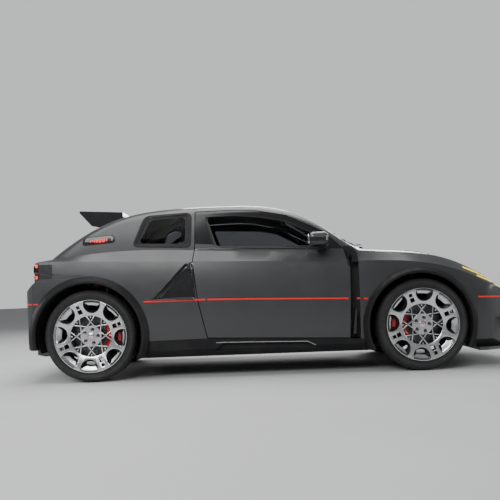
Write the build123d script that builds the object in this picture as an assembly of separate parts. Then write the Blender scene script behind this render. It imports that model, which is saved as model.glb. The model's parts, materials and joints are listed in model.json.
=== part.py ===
from build123d import *

import math
import os

# Three-door rally hatchback on its wheels, with the engine behind the two seats.
# Frame: +X points forward, +Y to the left, +Z up. The origin is on the ground, under the middle of the car.
# All sizes are millimetres. The body's outer form is two lofts, the lower body and the glasshouse, trimmed
# to a plan outline and a side profile. The same form drawn inwards gives every panel its thickness.

# Overall sizes
WHEELBASE = 2560
FRONT_OVERHANG = 840
REAR_OVERHANG = 560
OVERALL_WIDTH = 1860
ROOF_HEIGHT = 1400
RIDE_HEIGHT = 165

# Wheels: 255 section on a 21 inch rim
TYRE_RADIUS = 356
TYRE_WIDTH = 255
RIM_LIP_RADIUS = 282
TYRE_INSET = 25            # outer sidewall behind the widest point of the flares
STEER_LOCK_DEG = 30

# Wall thicknesses
PANEL = 22
DOOR_THICK = 60
PILLAR_THICK = 32
GLASS_THICK = 6
GLASS_DROP = 5             # glass surface below the body surface
SHUT_GAP = 6               # between a moving panel and its neighbour
SEAM = 0.5                 # between fixed panels

# Shut lines and openings, side view
DOOR_OPEN_DEG = 65
BONNET_OPEN_DEG = 55
TAILGATE_OPEN_DEG = 70
OUTLET_WIDTH = 65          # air outlet between door and front wing

# Derived layout
HALF_WIDTH = OVERALL_WIDTH / 2
LENGTH = FRONT_OVERHANG + WHEELBASE + REAR_OVERHANG
AXLE_FRONT = LENGTH / 2 - FRONT_OVERHANG
AXLE_REAR = AXLE_FRONT - WHEELBASE
WHEEL_Y = HALF_WIDTH - TYRE_INSET - TYRE_WIDTH / 2
FAR = 3000                 # longer than any cut has to be

# The tables below are drawn for a car with these sizes, and move with the real ones
DRAWN_AXLE_FRONT = 1140
DRAWN_AXLE_REAR = -1420
DRAWN_HALF_WIDTH = 930
DRAWN_ROOF = 1400
DRAWN_BELT = 970
CABIN_FRONT = 560          # drawn X where the cabin's stretch ends
CABIN_REAR = -620

SIDES = {"left": 1, "right": -1}


def place_x(x):
    """A drawn X moved to the real wheelbase: the ends follow their axles and the cabin stretches."""
    front = x - DRAWN_AXLE_FRONT + AXLE_FRONT
    rear = x - DRAWN_AXLE_REAR + AXLE_REAR
    if x >= CABIN_FRONT:
        return front
    if x <= CABIN_REAR:
        return rear
    share = (x - CABIN_REAR) / (CABIN_FRONT - CABIN_REAR)
    return rear + share * (front - rear)


def place_y(y):
    """A drawn half-width moved to the real overall width."""
    return y - DRAWN_HALF_WIDTH + HALF_WIDTH


def place_z(z):
    """A drawn height moved to the real roof height: only what is above the beltline stretches."""
    if z <= DRAWN_BELT:
        return z
    return DRAWN_BELT + (z - DRAWN_BELT) * (ROOF_HEIGHT - DRAWN_BELT) / (DRAWN_ROOF - DRAWN_BELT)


# Lower body sections, one row for each station, from the nose to the tail
LOWER_SECTIONS = [
    # x, waist_y, waist_z, shoulder_y, shoulder_z, belt_y, belt_z, top_z
    (1990, 862, 470, 800, 500, 690, 516, 532),
    (1700, 880, 540, 850, 640, 680, 697, 733),
    (1415, 888, 550, 862, 772, 700, 852, 897),
    (1140, 890, 556, 868, 838, 735, 912, 957),
    (655, 888, 573, 870, 864, 790, 950, 990),
    (0, 890, 592, 872, 885, 800, 972, 982),
    (-600, 892, 605, 874, 905, 803, 992, 1002),
    (-1140, 894, 612, 878, 922, 810, 1006, 1016),
    (-1480, 890, 613, 874, 934, 812, 985, 1000),
    (-1760, 878, 612, 862, 938, 800, 953, 966),
    (-1995, 860, 608, 840, 900, 780, 915, 925),
]
SILL_Y_INSET = 26          # sill corner inside the waist
SILL_Z = 225
FLOOR_Y_INSET = 90

# Glasshouse sections, one row for each station, from the windscreen base to the tail
GLASSHOUSE_SECTIONS = [
    # x, rail_y, rail_z, top_z
    (980, 780, 735, 800),
    (655, 797, 972, 1050),
    (400, 715, 1156, 1212),
    (120, 642, 1296, 1348),
    (-300, 618, 1346, 1400),
    (-800, 618, 1338, 1392),
    (-1150, 634, 1295, 1346),
    (-1400, 674, 1200, 1248),
    (-1620, 732, 1058, 1100),
    (-1880, 772, 800, 840),
]
GLASSHOUSE_FOOT = 850      # height of its foot, inside the lower body
TUMBLEHOME = 0.47          # sideways lean of the side glass for each unit of height
RAIL_ROUND = 70            # length of the roof rail's rounding along each face

# Plan outline of one half, from the nose to the tail
PLAN_HALF = [(1980, 0), (1945, 420), (1790, 800), (1500, 960), (-1770, 960), (-1925, 810), (-1975, 520), (-1980, 0)]
PLAN_ROUND = 150

# Side profile of nose and tail
NOSE_PROFILE = [(1800, 760), (1835, 628), (1866, 530), (1946, 372), (1980, 235), (1965, RIDE_HEIGHT)]
TAIL_PROFILE = [(-1905, RIDE_HEIGHT), (-1935, 254), (-1980, 361), (-1980, 603), (-1935, 705), (-1840, 783), (-1834, 945)]

# Side outlines, drawn as X and Z
DOOR_OUTLINE = [(-519, 312.5), (579, 273.5), (591, 577), (597, 858), (560, 955), (400, 1112), (120, 1253), (-120, 1303),
                (-300, 1312), (-597, 1306), (-600, 1000), (-614, 905), (-584, 608)]
DOOR_GLASS = [(452, 988), (392, 1062), (118, 1207), (-120, 1258), (-300, 1266), (-520, 1262), (-440, 1014)]
QUARTER_GLASS = [(-652, 1030), (-648, 1292), (-985, 1276), (-1075, 1048)]
SIDE_INTAKE = [(-636, 888), (-674, 888), (-925, 625), (-610, 613)]
SILL_OUTLINE = [(-1090, 300), (-519, 306), (579, 267), (634, 262), (830, 262), (830, 0), (-1090, 0)]
SILL_SCOOP = [(-467, 214), (320, 200), (250, 250), (-400, 264)]
WING_OUTLINE = [(662, 853), (655, 577), (634, 0), (1565, 0), (1560, 545), (1525, 700), (1490, 806),
                (1480, 1100), (662, 1100)]
HEADLAMP_OUTLINE = [(1490, 1000), (1490, 806), (1600, 722), (1690, 668), (1790, 638), (1900, 638), (1900, 1000)]
BUMPER_REAR_OUTLINE = [(-1770, 262), (-1770, 777), (-2100, 777), (-2100, 262)]

# Plan outlines of one half
WINDSCREEN_PLAN = [(790, 0), (772, 400), (690, 706), (420, 652), (150, 560), (138, 0)]
BONNET_PLAN = [(800, 0), (800, 722), (1140, 716), (1415, 682), (1660, 655), (1700, 500), (1735, 0)]
COWL_PLAN = [(300, 0), (300, 900), (661, 900), (661, 728), (794, 728), (794, 0)]

# Outlines seen from behind, one half
TAILGATE_REAR = [(0, 1420), (545, 1420), (556, 1290), (640, 1010), (664, 930), (664, 789), (0, 789)]
TAILGATE_OPENING_REAR = [(0, 1420), (553, 1420), (564, 1290), (648, 1010), (668, 930), (664, 789), (0, 789)]
TAILGATE_GLASS_REAR = [(0, 1262), (470, 1258), (545, 1040), (0, 1040)]
TAILGATE_FRONT = -1185     # drawn X of the tailgate's top edge
SEAT_BACK_X = -640

# Wheel arches
ARCHES = {
    # axle: (x of the axle, flare outer radius, flare inner radius, centre behind the axle, housing inner |Y|)
    "front": (AXLE_FRONT, TYRE_RADIUS + 83, TYRE_RADIUS + 40, 20, 470),
    "rear": (AXLE_REAR, TYRE_RADIUS + 105, TYRE_RADIUS + 49, 10, 500),
}
HOUSING_RADIUS = TYRE_RADIUS + 69
HOUSING_WALL = 10
FLARE_SEAT = 0.3           # between the flare and the body that it lies on


def lower_wire(row, inset):
    """Closed section of the lower body, each face drawn in by inset."""
    x, waist_y, waist_z, shoulder_y, shoulder_z, belt_y, belt_z, top_z = row
    x = place_x(x)
    slope_in = inset * 1.2
    half = [
        (place_y(waist_y - FLOOR_Y_INSET) - inset, RIDE_HEIGHT + inset),
        (place_y(waist_y - SILL_Y_INSET) - inset, SILL_Z),
        (place_y(waist_y) - inset, waist_z),
        (place_y(shoulder_y) - inset, shoulder_z - inset * 0.4),
        (place_y(belt_y) - slope_in, belt_z - inset * 0.9),
    ]
    left = [Vector(x, y, z) for y, z in half]
    right = [Vector(x, -y, z) for y, z in half]
    crown = Vector(x, 0, top_z - inset)
    bulge = 7

    def side(points):
        sign = 1 if points[0].Y > 0 else -1
        floor, sill, waist, shoulder, belt = points
        low = (sill + waist) / 2 + Vector(0, sign * bulge, 0)
        high = (waist + shoulder) / 2 + Vector(0, sign * bulge, 0)
        return [
            Edge.make_line(floor, sill),
            Edge.make_three_point_arc(sill, low, waist),
            Edge.make_three_point_arc(waist, high, shoulder),
            Edge.make_line(shoulder, belt),
        ]

    top = Edge.make_three_point_arc(left[-1], crown, right[-1])
    bottom = Edge.make_line(right[0], left[0])
    return Wire(side(left) + [top] + side(right) + [bottom])


def glasshouse_wire(row, inset):
    """Closed section of the glasshouse, each face drawn in by inset."""
    x, rail_y, rail_z, top_z = row
    x = place_x(x)
    rail_z = place_z(rail_z) - inset
    top_z = place_z(top_z) - inset
    rail_y = place_y(rail_y) - inset * 1.12 + inset * TUMBLEHOME
    foot_z = min(GLASSHOUSE_FOOT, rail_z - 110)
    foot_y = rail_y + (rail_z - foot_z) * TUMBLEHOME
    lean = Vector(0, TUMBLEHOME, -1).normalized()
    rail = Vector(x, rail_y, rail_z)
    low = rail + lean * RAIL_ROUND
    high = rail + Vector(0, -1, 0.06) * RAIL_ROUND
    turn = math.radians(90) - math.atan(TUMBLEHOME)
    share = math.cos(turn / 2) / (1 + math.cos(turn / 2))
    chord = (low + high) / 2
    corner = chord + (rail - chord) * share
    foot = Vector(x, foot_y, foot_z)
    bulge = Vector(0, 8, 4)

    def flip(point):
        return Vector(point.X, -point.Y, point.Z)

    belly = (foot + low) / 2 + bulge
    crown = Vector(x, 0, top_z)
    return Wire([
        Edge.make_line(flip(foot), foot),
        Edge.make_three_point_arc(foot, belly, low),
        Edge.make_three_point_arc(low, corner, high),
        Edge.make_three_point_arc(high, crown, flip(high)),
        Edge.make_three_point_arc(flip(high), flip(corner), flip(low)),
        Edge.make_three_point_arc(flip(low), flip(belly), flip(foot)),
    ])


def polygon(points, plane, rounding=0):
    """Closed face through the points on a plane, with its corners rounded."""
    face = plane * make_face(Polyline(*points, close=True))
    if rounding:
        face = fillet(face.vertices(), rounding)
    return face


def side_prism(points, y_low, y_high, rounding=0):
    """Drawn side outline, extruded across the car from y_low to y_high."""
    placed = [(place_x(x), place_z(z)) for x, z in points]
    face = polygon(placed, Plane.XZ, rounding)
    solid = extrude(face, amount=y_high - y_low, dir=(0, 1, 0))
    return Pos(0, y_low, 0) * solid


def plan_prism(half, z_low, z_high, rounding=0, inset=0):
    """Plan outline given as one half, mirrored and extruded upwards."""
    left = [(place_x(x), place_y(y) if y else 0) for x, y in half]
    right = [(x, -y) for x, y in reversed(left) if y]
    face = polygon(left + right, Plane.XY, rounding)
    if inset:
        face = offset(face, amount=-inset)
    return Pos(0, 0, z_low) * extrude(face, amount=z_high - z_low)


def rear_prism(half, x_low, x_high, rounding=0):
    """Outline seen from behind, given as one half in Y and Z, mirrored and extruded along X."""
    left = [(place_y(y) if y else 0, place_z(z)) for y, z in half]
    right = [(-y, z) for y, z in reversed(left) if y]
    face = polygon(left + right, Plane.YZ, rounding)
    return Pos(x_low, 0, 0) * extrude(face, amount=x_high - x_low)


def block(x_range, y_range, z_range):
    """Box between real coordinates."""
    size = [high - low for low, high in (x_range, y_range, z_range)]
    middle = [(high + low) / 2 for low, high in (x_range, y_range, z_range)]
    return Pos(*middle) * Box(*size)


def profile_prism(inset):
    """Nose and tail profile, extruded across the car."""
    nose = [(x, z) for x, z in NOSE_PROFILE]
    tail = [(x, z) for x, z in TAIL_PROFILE]
    outline = [(nose[0][0] - 40, 1700)] + nose + tail + [(tail[-1][0] + 20, 1700)]
    placed = [(place_x(x), place_z(z)) for x, z in outline]
    face = polygon(placed, Plane.XZ)
    if inset:
        face = offset(face, amount=-inset)
    return Pos(0, -FAR / 2, 0) * extrude(face, amount=FAR, dir=(0, 1, 0))


def body_form(inset, glasshouse_inset):
    """The car's outer form drawn in by the insets: a closed solid."""
    lower = Solid.make_loft([lower_wire(row, inset) for row in LOWER_SECTIONS])
    upper = Solid.make_loft([glasshouse_wire(row, glasshouse_inset) for row in GLASSHOUSE_SECTIONS])
    whole = lower + upper
    return whole & plan_prism(PLAN_HALF, 0, 1700, PLAN_ROUND, inset) & profile_prism(inset)




def mirrored(shape):
    """The same piece on the right side."""
    return mirror(shape, Plane.XZ)


def both(shape):
    """A piece and its mirror image."""
    return Compound(solids_of(shape) + solids_of(mirrored(shape)))


def solids_of(shape):
    """The solids of a shape, without crumbs left by a cut."""
    return [solid for solid in shape.solids() if solid.volume > 200]


def left_half(shape):
    """What lies on the left of the centre plane."""
    return shape & block((-FAR, FAR), (0, FAR), (-FAR, FAR))


def cylinder_y(radius, x, z, y_low, y_high):
    """Cylinder across the car."""
    return Pos(x, (y_low + y_high) / 2, z) * Rot(90, 0, 0) * Cylinder(radius, y_high - y_low)


def tube_between(start, end, radius):
    """Straight round bar between two points."""
    start = Vector(*start)
    end = Vector(*end)
    axis = end - start
    plane = Plane(origin=start, z_dir=axis)
    return extrude(plane * Circle(radius), amount=axis.length)


def grown(points, amount, y_low=-FAR / 2, y_high=FAR / 2):
    """A side outline's prism, grown by amount all round."""
    placed = [(place_x(x), place_z(z)) for x, z in points]
    face = offset(polygon(placed, Plane.XZ), amount=amount)
    return Pos(0, y_low, 0) * extrude(face, amount=y_high - y_low, dir=(0, 1, 0))


def side_cut(points):
    """A side outline's prism right across the car."""
    return side_prism(points, -FAR / 2, FAR / 2)


def arch_cut(axle, extra=0):
    """Round cut over one axle, as wide as the flare's inner edge."""
    x, outer, inner, behind, housing_y = ARCHES[axle]
    return cylinder_y(inner + extra, x - behind, TYRE_RADIUS, -FAR / 2, FAR / 2)


FORM = body_form(0, 0)
THIN_INNER = body_form(PANEL, PANEL)
WALL_INNER = body_form(DOOR_THICK, PILLAR_THICK)
FLOOR_TOP = RIDE_HEIGHT + PANEL
ABOVE_FLOOR = block((-FAR, FAR), (-FAR, FAR), (FLOOR_TOP, FAR))
THIN_SHELL = FORM - THIN_INNER
WALL_SHELL = FORM - WALL_INNER
LEFT_SPACE = block((-FAR, FAR), (0, FAR), (-FAR, FAR))
THIN_LEFT = THIN_SHELL & LEFT_SPACE
WALL_LEFT = WALL_SHELL & LEFT_SPACE

HINGE_X = place_x(585)
HINGE_Y = HALF_WIDTH - 80
HINGE_PIN = 8
PIN_PLAY = 0.3
HINGE_HEIGHTS = (400, 740)
DOOR_REAR_SLOPE = 0.25
HINGE_RAIL = 10            # hinge pillar's thickness
DOOR_SWING_RADIUS = 30     # the door's front corner turns within this, above the front wing
PILLAR_Y = HALF_WIDTH - 150

STEER_PLAY = 7.5           # tyre to body at any steering angle

MIRROR_CENTRE = (350, 948, 1036)
MIRROR_SIZE = (150, 150, 104)
MIRROR_ARM = [(780, 944), (806, 932), (892, 992), (892, 1022), (836, 1022), (786, 984)]

WINDSCREEN_EDGE = 0.4      # clearance of each fixed glass in its opening


def glass_skin(drop):
    """Solid of the glasshouse alone, dropped under the body surface."""
    return Solid.make_loft([glasshouse_wire(row, drop) for row in GLASSHOUSE_SECTIONS])


GLASS_SHELL = glass_skin(GLASS_DROP) - glass_skin(GLASS_DROP + GLASS_THICK)
ABOVE_LOWER = Solid.make_loft([lower_wire(row, 0) for row in LOWER_SECTIONS])


def make_door():
    """Left door with its window opening, glass and mirror, hinged at its front edge."""
    outline = side_prism(DOOR_OUTLINE, 0, FAR / 2)
    rear_x = place_x(-600)
    reach = HALF_WIDTH
    rear_limit = polygon([(rear_x - (reach - 645) * DOOR_REAR_SLOPE, reach), (FAR, reach), (FAR, 0),
                          (rear_x + 645 * DOOR_REAR_SLOPE, 0)], Plane.XY)
    door = WALL_LEFT & outline & extrude(rear_limit, amount=ROOF_HEIGHT + 100)
    window = side_prism(DOOR_GLASS, 0, FAR / 2)
    door = door - window
    for height in HINGE_HEIGHTS:
        pocket = block((HINGE_X - 32, HINGE_X + 40), (HALF_WIDTH - 220, HINGE_Y + 26), (height - 22, height + 22))
        bore = Pos(HINGE_X, HINGE_Y, height) * Cylinder(HINGE_PIN + PIN_PLAY, 110)
        door = door - pocket - bore
    pane = GLASS_SHELL & grown(DOOR_GLASS, -WINDSCREEN_EDGE, 0, FAR / 2)
    foot = Pos(place_x(352), 0, 0) * extrude(polygon([(place_y(y), z) for y, z in MIRROR_ARM], Plane.YZ), amount=64)
    x, y, z = MIRROR_CENTRE
    long, wide, high = MIRROR_SIZE
    shell = fillet((Pos(place_x(x), place_y(y), z) * Box(*MIRROR_SIZE)).edges(), high * 0.36)
    glass_recess = Pos(place_x(x) - long / 2, place_y(y), z) * Box(24, wide - 22, high - 24)
    door_mirror = (foot - FORM) + shell - glass_recess
    return door, pane, door_mirror


def make_body_panels():
    """Fixed body shell, piece by piece."""
    door_gap = grown(DOOR_OUTLINE, SHUT_GAP)
    screen_cut = plan_prism(WINDSCREEN_PLAN, 600, 1700) - ABOVE_LOWER
    tail_x = place_x(TAILGATE_FRONT)
    tail_cut = rear_prism(TAILGATE_REAR, -FAR, tail_x)
    tail_gap = Pos(tail_x + SHUT_GAP, 0, 0) * extrude(
        offset(rear_face(TAILGATE_OPENING_REAR), amount=SHUT_GAP), amount=-FAR)
    bonnet_cut = plan_prism(BONNET_PLAN, 500, 1200)
    bonnet_gap = plan_prism(BONNET_PLAN, 500, 1200, 0, -SHUT_GAP)
    sill_cut = side_cut(SILL_OUTLINE)
    wing_cut = side_cut(WING_OUTLINE)
    lamp_cut = side_cut(HEADLAMP_OUTLINE)
    rear_bumper_cut = side_cut(BUMPER_REAR_OUTLINE)
    quarter_cut = side_cut(QUARTER_GLASS)
    intake_cut = side_cut(SIDE_INTAKE)
    seam_x = place_x(-600)
    parts = {}

    # Roof, windscreen pillars and cowl
    ahead = block((seam_x + SEAM, place_x(794)), (-FAR, FAR), (853, FAR))
    cowl = plan_prism(COWL_PLAN, 0, 1700) + block((seam_x, place_x(661)), (-FAR, FAR), (0, FAR))
    swing = Pos(HINGE_X, HINGE_Y, 905) * Cylinder(DOOR_SWING_RADIUS, 130)
    parts["roof_frame"] = (WALL_SHELL & ahead & cowl - door_gap - screen_cut) - swing - mirrored(swing)
    parts["windscreen"] = (GLASS_SHELL & plan_prism(WINDSCREEN_PLAN, 600, 1700, 0, WINDSCREEN_EDGE)) - grown_lower()

    # Rear quarters with the window pillars and the tail panel
    behind = block((-FAR, seam_x), (0, FAR), (FLOOR_TOP, FAR))
    behind = behind + block((-FAR, place_x(-500)), (0, FAR), (FLOOR_TOP, 905))
    rear = WALL_LEFT & behind
    rear = rear - door_gap - tail_gap - arch_cut("rear") - quarter_cut - intake_cut
    rear = rear - grown(SILL_OUTLINE, SEAM) - rear_bumper_cut - tail_lamp_cut() - low_tail_cut()
    parts["rear_body"] = both_joined(rear)
    parts["quarter_windows"] = both(GLASS_SHELL & grown(QUARTER_GLASS, -WINDSCREEN_EDGE, 0, FAR / 2))
    intake = (THIN_INNER - WALL_INNER) & LEFT_SPACE & grown(SIDE_INTAKE, -SEAM, 0, FAR / 2)
    parts["side_intakes"] = both(Pos(0, SEAM, 0) * intake)
    parts["tail_lamps"] = both(THIN_LEFT & tail_lamp_cut(-SEAM))

    # Tailgate with its glass
    parts["tailgate"] = (WALL_SHELL & tail_cut) - rear_prism(TAILGATE_GLASS_REAR, -FAR, place_x(-1200)) - ABOVE_DECK
    parts["tailgate_glass"] = GLASS_SHELL & rear_prism_inset(TAILGATE_GLASS_REAR, WINDSCREEN_EDGE, place_x(-1200))

    # Sills with their scooped recess
    sill = (WALL_LEFT & sill_cut & block((-FAR, FAR), (HALF_WIDTH - 160, FAR), (0, FAR)))
    scoop = side_prism(SILL_SCOOP, HALF_WIDTH - 92, FAR / 2)
    sill = sill - scoop - arch_cut("rear", 12) - arch_cut("front", 12)
    parts["sills"] = both(sill)

    # Front wings, lamps, bumper
    wing = THIN_LEFT & ABOVE_FLOOR & wing_cut
    wing = wing - bonnet_gap - arch_cut("front") - grown(SILL_OUTLINE, SEAM)
    wing = wing - plan_prism(COWL_PLAN, 0, 1700, 0, -SEAM)
    parts["front_wings"] = both(wing)
    lamp = THIN_LEFT & grown(HEADLAMP_OUTLINE, -SEAM) - bonnet_gap
    parts["headlamps"] = both(lamp - grown(WING_OUTLINE, SEAM))
    bumper = THIN_SHELL & block((place_x(1480), FAR), (-FAR, FAR), (0, FAR))
    bumper = bumper - bonnet_gap - grown(WING_OUTLINE, SEAM) - lamp_cut - nose_openings() - arch_cut("front")
    parts["front_bumper"] = bumper
    parts["bonnet"] = THIN_SHELL & bonnet_cut

    # Rear bumper
    parts["rear_bumper"] = (THIN_SHELL & grown(BUMPER_REAR_OUTLINE, -SEAM)) - arch_cut("rear") - tail_openings()
    for name, moving, x, y, facing, ear_length in HINGES:
        fixed_piece, moving_piece, notch = make_hinge(place_x(x), y, facing, ear_length)
        parts[name] = parts[name] - notch + fixed_piece
        parts[moving] = parts[moving] - notch + moving_piece
    return parts


def rear_face(half):
    """Face of an outline seen from behind, given as one half."""
    left = [(place_y(y) if y else 0, place_z(z)) for y, z in half]
    right = [(-y, z) for y, z in reversed(left) if y]
    return polygon(left + right, Plane.YZ)


def rear_prism_inset(half, inset, x_high):
    """Outline seen from behind, drawn in by inset and extruded rearwards from x_high."""
    return Pos(x_high - inset, 0, 0) * extrude(offset(rear_face(half), amount=-inset), amount=-FAR)


def grown_lower():
    """Lower body grown by the glass clearance, so the windscreen ends just above the cowl."""
    return Solid.make_loft([lower_wire(row, -WINDSCREEN_EDGE * 2) for row in LOWER_SECTIONS])


def both_joined(shape):
    """A left half and its mirror image in one piece."""
    return shape + mirrored(shape)


TAIL_LAMP = {"y": (566, 900), "z": (806, 918), "x": place_x(-1700)}


def tail_lamp_cut(grow=0):
    """Box that cuts one tail lamp out of the tail's corner."""
    y_low, y_high = TAIL_LAMP["y"]
    z_low, z_high = TAIL_LAMP["z"]
    return block((-FAR, TAIL_LAMP["x"] + grow), (place_y(y_low) + 104 - grow, FAR), (z_low - grow, z_high + grow))


def low_tail_cut():
    """Space behind the rear wheels and under the tail panel."""
    return block((-FAR, place_x(-1770)), (-FAR, FAR), (0, 777))


ABOVE_DECK = block((-FAR, place_x(-1760)), (-FAR, FAR), (0, 789))
INTAKE = {"y": 520, "z": (208, 470), "side_y": (610, 800), "side_z": (300, 470)}


def nose_openings():
    """Centre intake and two side intakes through the nose."""
    nose = place_x(1700)
    z_low, z_high = INTAKE["z"]
    centre = [(0, z_low), (INTAKE["y"] - 60, z_low), (INTAKE["y"], z_high - 40), (INTAKE["y"] - 40, z_high), (0, z_high)]
    y_low, y_high = INTAKE["side_y"]
    side_low, side_high = INTAKE["side_z"]
    side = [(y_low, side_low), (y_high, side_low + 60), (y_high, side_high), (y_low + 60, side_high)]
    opening = rear_prism(centre, nose, nose + 600)
    edge = extrude(polygon(side, Plane.YZ), amount=600)
    edge = Pos(nose, 0, 0) * edge
    return opening + edge + mirrored(edge)


DIFFUSER_HALF = 494
RAMP_START = (place_x(-1630), RIDE_HEIGHT)
RAMP_END = (place_x(-1945), 290)
PIPE_Y = 85
PIPE_Z = 368
PIPE_RADIUS = 42


def tail_openings():
    """Slot for the tail pipes and the space over the diffuser in the rear bumper."""
    pipes = block((-FAR, place_x(-1800)), (-170, 170), (PIPE_Z - 58, PIPE_Z + 58))
    return pipes + block((-FAR, place_x(-1500)), (-DIFFUSER_HALF - 10, DIFFUSER_HALF + 10), (0, RAMP_END[1] + PANEL + 2))


# Bonnet and tailgate hinges: fixed piece, moving piece, drawn X, Y, direction of the moving panel, ear length
HINGES = [
    ("roof_frame", "bonnet", 797, 150, 1, 12),
    ("roof_frame", "bonnet", 797, -150, 1, 12),
    ("rear_body", "tailgate", -1182, 150, -1, 24),
    ("rear_body", "tailgate", -1182, -150, -1, 24),
]
LID_BARREL = 7
LID_PIN = 3.5


def skin_z(x, y):
    """Height of the body's outer surface at a place in plan."""
    hits = FORM.find_intersection_points(Axis((x, y, 3000), (0, 0, -1)))
    return max(point.Z for point, normal in hits)


def make_hinge(x, y, facing, ear_length):
    """Barrel on the moving panel, pin with two ears on the fixed one, and the notch both need.

    The axis lies at the height of the crown, so that nothing above it swings into the fixed panel.
    The bonnet's ears are short, so that they end ahead of the windscreen.
    """
    z = skin_z(x, 0)
    barrel = cylinder_y(LID_BARREL, x, z, y - 18, y + 18)
    near, far = sorted((x, x + facing * 24))
    tongue = block((near, far), (y - 14, y + 14), (z - 17, z - 4))
    moving = barrel + tongue - cylinder_y(LID_PIN + PIN_PLAY, x, z, y - 40, y + 40)
    fixed = cylinder_y(LID_PIN, x, z, y - 32, y + 32)
    near, far = sorted((x, x - facing * ear_length))
    for side in (-1, 1):
        ear = cylinder_y(LID_BARREL, x, z, y + side * 26 - 6, y + side * 26 + 6)
        fixed = fixed + ear + block((near, far), (y + side * 26 - 6, y + side * 26 + 6), (z - 17, z - 4))
    notch = cylinder_y(LID_BARREL + 6, x, z, y - 38, y + 38)
    return fixed, moving, notch


# Wheels: the rim's section and face, seen from the wheel's centre plane, outboard positive
BEAD_RADIUS = 266
BARREL_WALL = 8
RIM_HALF_WIDTH = 118
FACE_Y = 100               # outer surface of the wheel face at the rim
FACE_DISH = 10             # how much lower it lies at the inner ring
FACE_THICK = 26
INNER_RING_RADIUS = 162
RING_BAND = 14
HUB_RADIUS = 81
HUB_SEAT_Y = 22            # mounting face
HUB_FACE_Y = 90
CROSSING_RADIUS = 112
SPOKE_COUNT = 8            # pairs of crossing spokes
SPOKE_WIDTH = 11
SPOKE_DEPTH = 16
SPOKE_SPREAD_DEG = 13
POCKET_RADIUS = 67
POCKET_CENTRE = 245
POCKET_PAIR_DEG = 113.5
POCKET_HALF_SPREAD = 19.4
SQUARE_DEG = 68.2
SQUARES = [(201, 36), (240, 27)]   # radius of the centre, side
LUG_COUNT = 5
LUG_CIRCLE = 108
LUG_HOLE = 27
LUG_START_DEG = 104
SPINDLE_RADIUS = 24
SPINDLE_PLAY = 0.3
DISC_RADIUS = 190
DISC_Y = (-38, -12)
DISC_HAT_RADIUS = 74
CALIPER_PLAY = 7
KINGPIN_IN = 72            # kingpin inboard of the wheel's centre plane
KNUCKLE_HALF_HEIGHT = 130
BALL_PIN = 10
TYRE_WALL = 14
BEAD_PLAY = 0.3


def turned(points):
    """Solid of revolution about the wheel's axis: points are radius and outboard position."""
    face = make_face(Polyline(*[(r, y) for r, y in points], close=True))
    return revolve(face, axis=Axis.Y)


def around(radius, degrees):
    """Point on the wheel's face plane, as X and Z."""
    angle = math.radians(degrees)
    return radius * math.cos(angle), radius * math.sin(angle)


def face_slab(radius, degrees, length, width, y_low, y_high):
    """Box that lies radially on the wheel face."""
    return Rot(0, -degrees, 0) * Pos(radius, (y_low + y_high) / 2, 0) * Box(length, y_high - y_low, width)


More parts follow.
